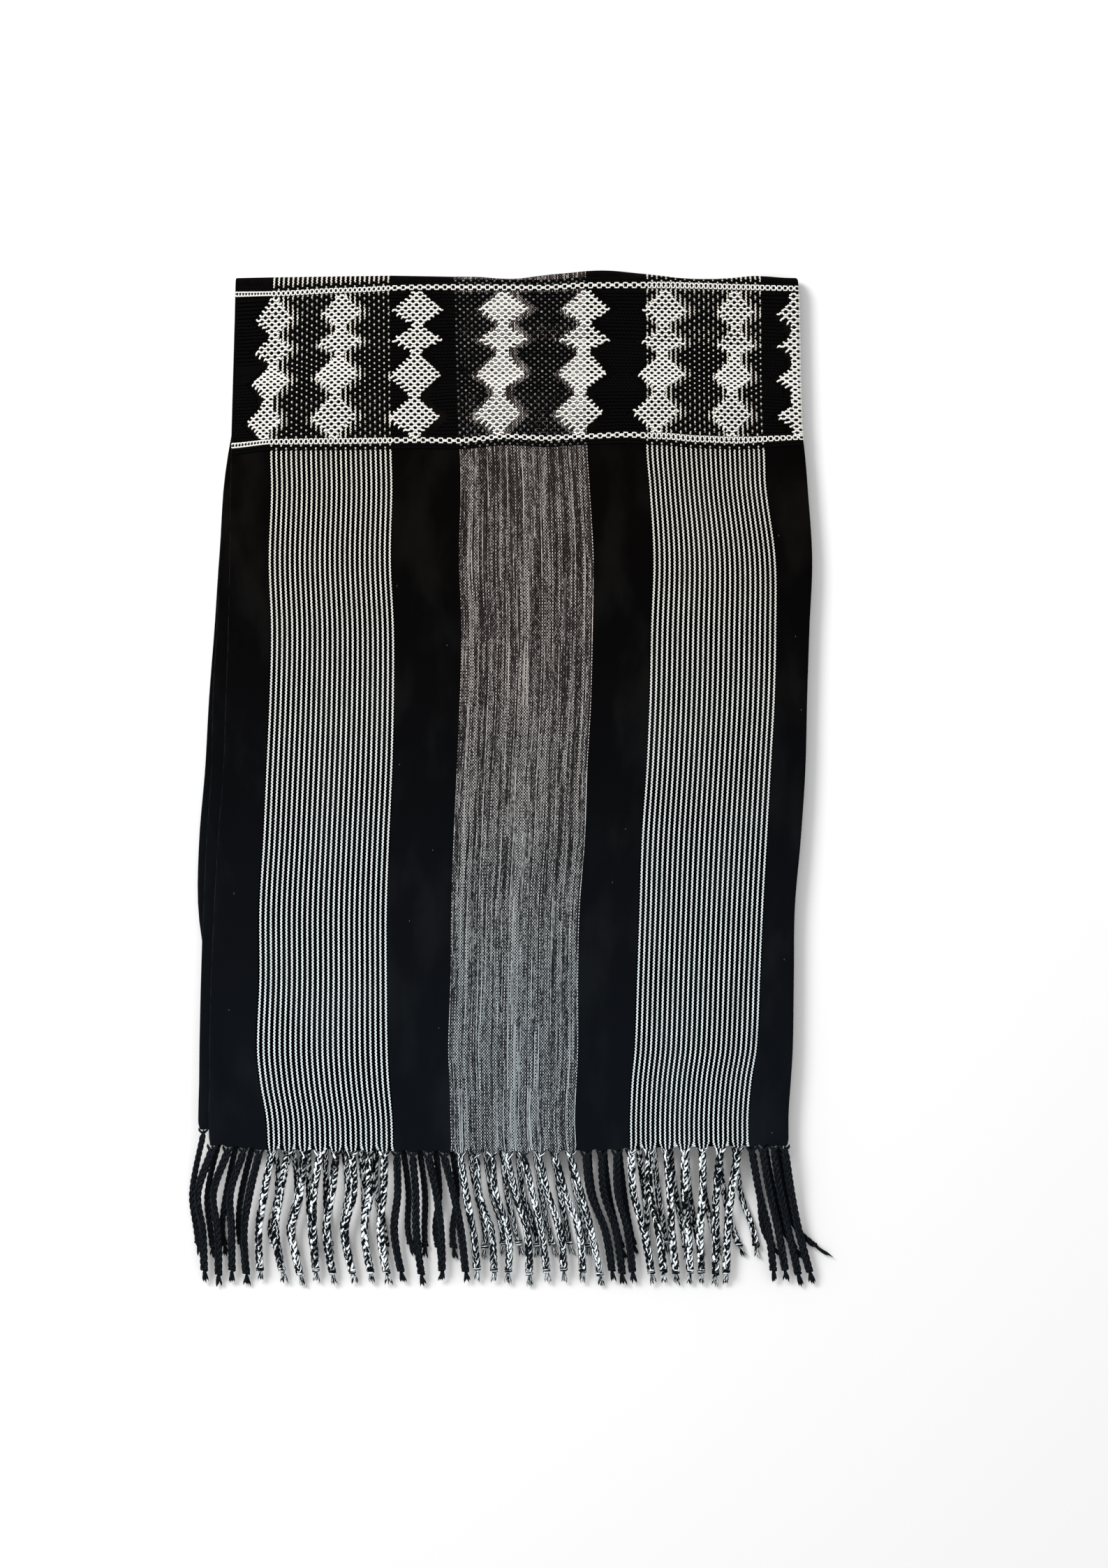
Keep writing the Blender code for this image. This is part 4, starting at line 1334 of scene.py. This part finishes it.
def window_places():
    """Where a window opens between two white rows: distances across and lines."""
    found = []
    for number, line in enumerate(brocade_lines()[:-1]):
        for ends in zip(diamonds_on(line), diamonds_on(line + ROW_PITCH)):
            first = max(middle - half for middle, half in ends) + WINDOW_HALF + WINDOW_ROOM
            last = min(middle + half for middle, half in ends) - WINDOW_HALF - WINDOW_ROOM
            first, last = max(first, WINDOW_ENDS[0]), min(last, WINDOW_ENDS[1])
            start = WINDOW_PITCH * (0.25 if number % 2 else 0.75)
            steps = range(math.ceil((first - start) / WINDOW_PITCH),
                          math.floor((last - start) / WINDOW_PITCH) + 1)
            found += [(start + WINDOW_PITCH * k, line + ROW_PITCH / 2) for k in steps]
    return found


def float_paths(places, half=FLOAT_HALF, lift=FLOAT_LIFT, dip=FLOAT_DIP):
    """A short path along the warp over each place."""
    share = np.linspace(-1.0, 1.0, FLOAT_POINTS)
    height = lift * (1 - dip * share**2)
    return [on_weft(np.full(FLOAT_POINTS, s), line - half * share, height)
            for s, line in places]


def window_floats(name, grey, material):
    """The floats in the windows, inside the marl band or outside it, as one piece."""
    places = [at for at in window_places() if (MARL[0] < at[0] < MARL[1]) == grey]
    paths = float_paths(places, WINDOW_TALL, WINDOW_LIFT, WINDOW_DIP)
    return lay_yarns(name, paths, WINDOW_HALF, WINDOW_THICK, 5, material)


# The pinstripe floats are pale yarn of one colour: their lighter tone is a painted highlight on
# one side of each ply, and their darker tone painted shade on the other.
pin_yarn = yarn_finish(
    "pin_yarn", (0.40, 0.37, 0.32, 1.0), (0.80, 0.77, 0.70, 1.0), 2.0, 0.6, 0.6)
marl_yarn = yarn_finish(
    "marl_yarn", (0.004, 0.004, 0.004, 1.0), (0.34, 0.33, 0.31, 1.0), 6.0, 0.9, 1.5,
    share=0.1, mirror=MATT_MIRROR)
pin_places = float_places(FIRST_PINS, PIN_PITCH) + float_places(SECOND_PINS, PIN_PITCH)
pin_floats = lay_yarns(
    "pin_floats", float_paths(pin_places), PIN_FLOAT_WIDE, FLOAT_THICK, 5, pin_yarn)
marl_floats = lay_yarns(
    "marl_floats", float_paths(float_places(MARL, MARL_FLOAT_PITCH)),
    MARL_FLOAT_WIDE, FLOAT_THICK, 5, marl_yarn)
dark_floats = window_floats("dark_floats", False, black_yarn)
grey_floats = window_floats("grey_floats", True, marl_yarn)
# %% [markdown]
# A chain line closes the band above and below: two white yarns that part and meet.
# The links are locked to the warp, so they are closer in the pinstripe bands.

# %% Chain lines
LINKS = {
    "left": (2.2, 0.85), "pins": (PIN_PITCH, 1.0), "plain": (5.5, 1.5), "right": (3.5, 1.1)}
CHAIN_START, CHAIN_LIFT, CHAIN_WAVE = 0.6, 0.64, 0.12
CHAIN_RADIUS, CHAIN_THICK = 0.46, 0.42
CHAIN_NEAR, CHAIN_FAR, LEFT_FAR = 0.38, 1.36, 1.08
LINK_RAMP = 0.2
LINK_OPEN = np.array((0.0, 0.0, 1.0, 1.0, 1.0, 0.0))


def link_kind(s):
    """Which band of the cloth a link lies in."""
    if s < FIRST_PINS[0] - 1:
        return "left"
    if s < FIRST_PINS[1] - 1 or SECOND_PINS[0] - 2 < s < SECOND_PINS[1] - 1:
        return "pins"
    return "right" if s > SECOND_PINS[1] - 1 else "plain"


def chain_yarn(line, above):
    """One of the two yarns of a chain line: together between windows, apart at each."""
    places, start = [], CHAIN_START
    while start < LIP_START:
        pitch, window = LINKS[link_kind(start)]
        middle, half = start + pitch / 2, window / 2 + CHAIN_RADIUS * 0.9
        places.append((start, middle - half - LINK_RAMP, middle - half, middle, middle + half,
                       middle + half + LINK_RAMP))
        start += pitch
    s = np.array(places).ravel()
    share = np.tile(LINK_OPEN, len(places))
    far = np.where(s < FIRST_PINS[0], LEFT_FAR, CHAIN_FAR)
    off = CHAIN_NEAR + (far - CHAIN_NEAR) * share
    return on_weft(s, line + (-off if above else off), CHAIN_LIFT - CHAIN_WAVE * share)


chain_paths = [chain_yarn(line, above) for line in CHAINS for above in (True, False)]
chain_lines = lay_yarns(
    "chain_lines", chain_paths, CHAIN_RADIUS, CHAIN_THICK, 6, white_yarn)

# %% [markdown]
# A braid is three strands. Each swings from side to side while it rises and dips twice
# as often, a third of a turn behind the one before. Seen from above their crossings
# make a row of small V shapes. The strands follow the solids' centre lines.

# %% Strands of a braid
BRAID_TURN, LEFT_HANDED = 12.6, 0.85
STRAND_SWING, STRAND_RISE = 1.52, 0.78
STRAND_WIDE, STRAND_THICK = 1.34, 0.90
SLACK, SLACK_LENGTH = 0.07, 9.0
BRAID_STEP, BRAID_ENDS = 1.0, (-0.4, 0.8)
WEST_BRAIDS, EAST_BRAIDS, STRIP_REACH, STRIP_ROOTS = -150, 165, 3.0, 0.6
KNOT_SHARE = 0.885
ROOT_SPREAD, ROOT_LENGTH, ROOT_SIZE, ROOT_POWER, ROOT_GAP = 4.1, 4.6, 0.62, 1.7, 5.0


def braid_line(row, knots, heights, down):
    """Points of a braid's centre line at distances below the top fold."""
    return np.stack((smooth(knots, row, down), TOP_Y - down, smooth(*heights, down)), axis=1)


def knot_down(knots):
    """How far below the top fold a braid is knotted."""
    return knots[0] + (knots[-1] - knots[0]) * KNOT_SHARE


def braid_strands(braid, heights, scale, draw):
    """Path, half widths and half heights of a braid's strands, from hem to knot."""
    yarn, row, knots, hem = braid
    down = np.arange(hem + BRAID_ENDS[0], knot_down(knots) + BRAID_ENDS[1], BRAID_STEP)
    centre = braid_line(row, knots, heights, down)
    side, above = ring_frames(centre)
    length = lengths_along(centre)
    flip = -1.0 if draw.random() < LEFT_HANDED else 1.0
    lead = draw.uniform(0.0, 2 * math.pi)
    slack = 1.0 + SLACK * np.sin(length / SLACK_LENGTH + lead)
    grown = np.clip((down - down[0]) / ROOT_LENGTH, 0.0, 1.0)
    ends = (row[0] - STRIP_REACH if row[0] < WEST_BRAIDS else -math.inf,
            row[0] + STRIP_REACH if row[0] > EAST_BRAIDS else math.inf)
    strands = []
    for strand in range(3):
        turn = 2 * math.pi * (length / BRAID_TURN + strand / 3) + lead
        swing = scale * STRAND_SWING * slack * grown * np.sin(turn)
        lift = scale * flip * STRAND_RISE * grown * np.sin(2 * turn)
        aside = (strand - 1) * ROOT_SPREAD * (1 - grown)**ROOT_POWER
        path = centre + side * swing[:, None] + above * lift[:, None]
        path[:, 0] += aside
        path[:, 0] = np.where(grown < STRIP_ROOTS, np.clip(path[:, 0], *ends), path[:, 0])
        path[:, 1] += SCALLOP_RISE * np.abs(aside / ROOT_GAP)**SCALLOP_POWER
        size = scale * (ROOT_SIZE + (1 - ROOT_SIZE) * grown)
        strands.append((path, STRAND_WIDE * size, STRAND_THICK * size))
    return strands


# %% [markdown]
# The same yarns end each braid: one is wound round it as a knot, and six loose ends hang
# below. The rows of fringe stand for the solids' braids, front and back.

# %% Knots, tufts and rows of fringe
KNOT_TURNS, KNOT_WIDE, KNOT_TALL, KNOT_YARN = 1.75, 1.75, 1.15, 0.95
KNOT_ENDS, KNOT_POINTS = (-1.2, 1.3), 20
TUFT_YARNS, TUFT_WIDE, TUFT_THICK, TUFT_SPREAD = 6, 0.62, 0.5, 4.6
FLOOR_ROOM = 0.15


def knot_path(braid, heights, draw):
    """A yarn wound round a braid above its tuft."""
    yarn, row, knots, hem = braid
    turn = np.linspace(0.0, 2 * math.pi * KNOT_TURNS, KNOT_POINTS) + draw.uniform(0.0, 6.0)
    spots = knot_down(knots) + np.linspace(*KNOT_ENDS, KNOT_POINTS)
    centre = braid_line(row, knots, heights, spots)
    centre[:, 0] += KNOT_WIDE * np.cos(turn)
    centre[:, 2] += KNOT_TALL * np.sin(turn)
    return centre


def tuft_paths(braid, heights, draw):
    """Loose yarn ends below a knot."""
    yarn, row, knots, hem = braid
    first = knot_down(knots)
    share = np.linspace(0.0, 1.0, 5)
    paths = []
    for k in range(TUFT_YARNS):
        last = knots[-1] - draw.uniform(0.0, 2.5)
        centre = braid_line(row, knots, heights, first + (last - first) * share)
        aim = (k - (TUFT_YARNS - 1) / 2) / TUFT_YARNS * TUFT_SPREAD + draw.uniform(-0.8, 0.8)
        centre[:, 0] += aim * share + draw.uniform(-0.4, 0.4) * np.sin(share * 5)
        centre[:, 2] += draw.uniform(-0.5, 0.5) * share
        paths.append(centre)
    return paths


def braid_row(name, row, heights, scale, seed):
    """A row of fringe as three pieces, one for each kind of yarn."""
    draw = random.Random(seed)
    finishes = {"black": black_braid, "striped": striped_braid, "marl": marl_braid}
    tubes = {yarn: ([], [], []) for yarn in finishes}
    for braid in row:
        parts = braid_strands(braid, heights, scale, draw)
        parts += [(knot_path(braid, heights, draw), KNOT_YARN, KNOT_YARN)]
        parts += [(path, TUFT_WIDE, TUFT_THICK) for path in tuft_paths(braid, heights, draw)]
        for part in parts:
            path, wide, thick = part
            path[:, 2] = np.maximum(path[:, 2], np.max(thick) + FLOOR_ROOM)
            for values, value in zip(tubes[braid[0]], part):
                values.append(value)
    return [lay_tubes(f"{name}_{yarn}", *tubes[yarn], 6, finish, "braid")
            for yarn, finish in finishes.items()]
front_fringe = braid_row("front_fringe", front_row, FRONT_HEIGHTS, 0.93, SEED + 30)
back_fringe = braid_row("back_fringe", back_row, BACK_HEIGHTS, 0.74, SEED + 31)
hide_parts("fringe_front")
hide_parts("fringe_back")

# %% [markdown]
# The whole shawl is one cloth, about 0.75 m wide and 2.15 m long, and each piece here is the part
# of it that the fold leaves in one place.

# %% [markdown]
# The floor is only a stage: a pale flat ground to carry the soft shadow.

# %% Floor
FLOOR_SIZE = 6.0

floor_mesh = bpy.data.meshes.new("pale_floor")
bm = bmesh.new()
bmesh.ops.create_grid(bm, x_segments=1, y_segments=1, size=FLOOR_SIZE)
bm.to_mesh(floor_mesh)
bm.free()
floor = put_in_scene("pale_floor", floor_mesh)
floor_finish = bpy.data.materials.new("pale_floor")
floor_finish.use_nodes = True
for socket, value in (("Base Color", (0.93, 0.93, 0.93, 1.0)), ("Roughness", 0.9),
                      ("Specular IOR Level", 0.1)):
    feed(value, floor_finish.node_tree.nodes["Principled BSDF"].inputs[socket])
floor_mesh.materials.append(floor_finish)
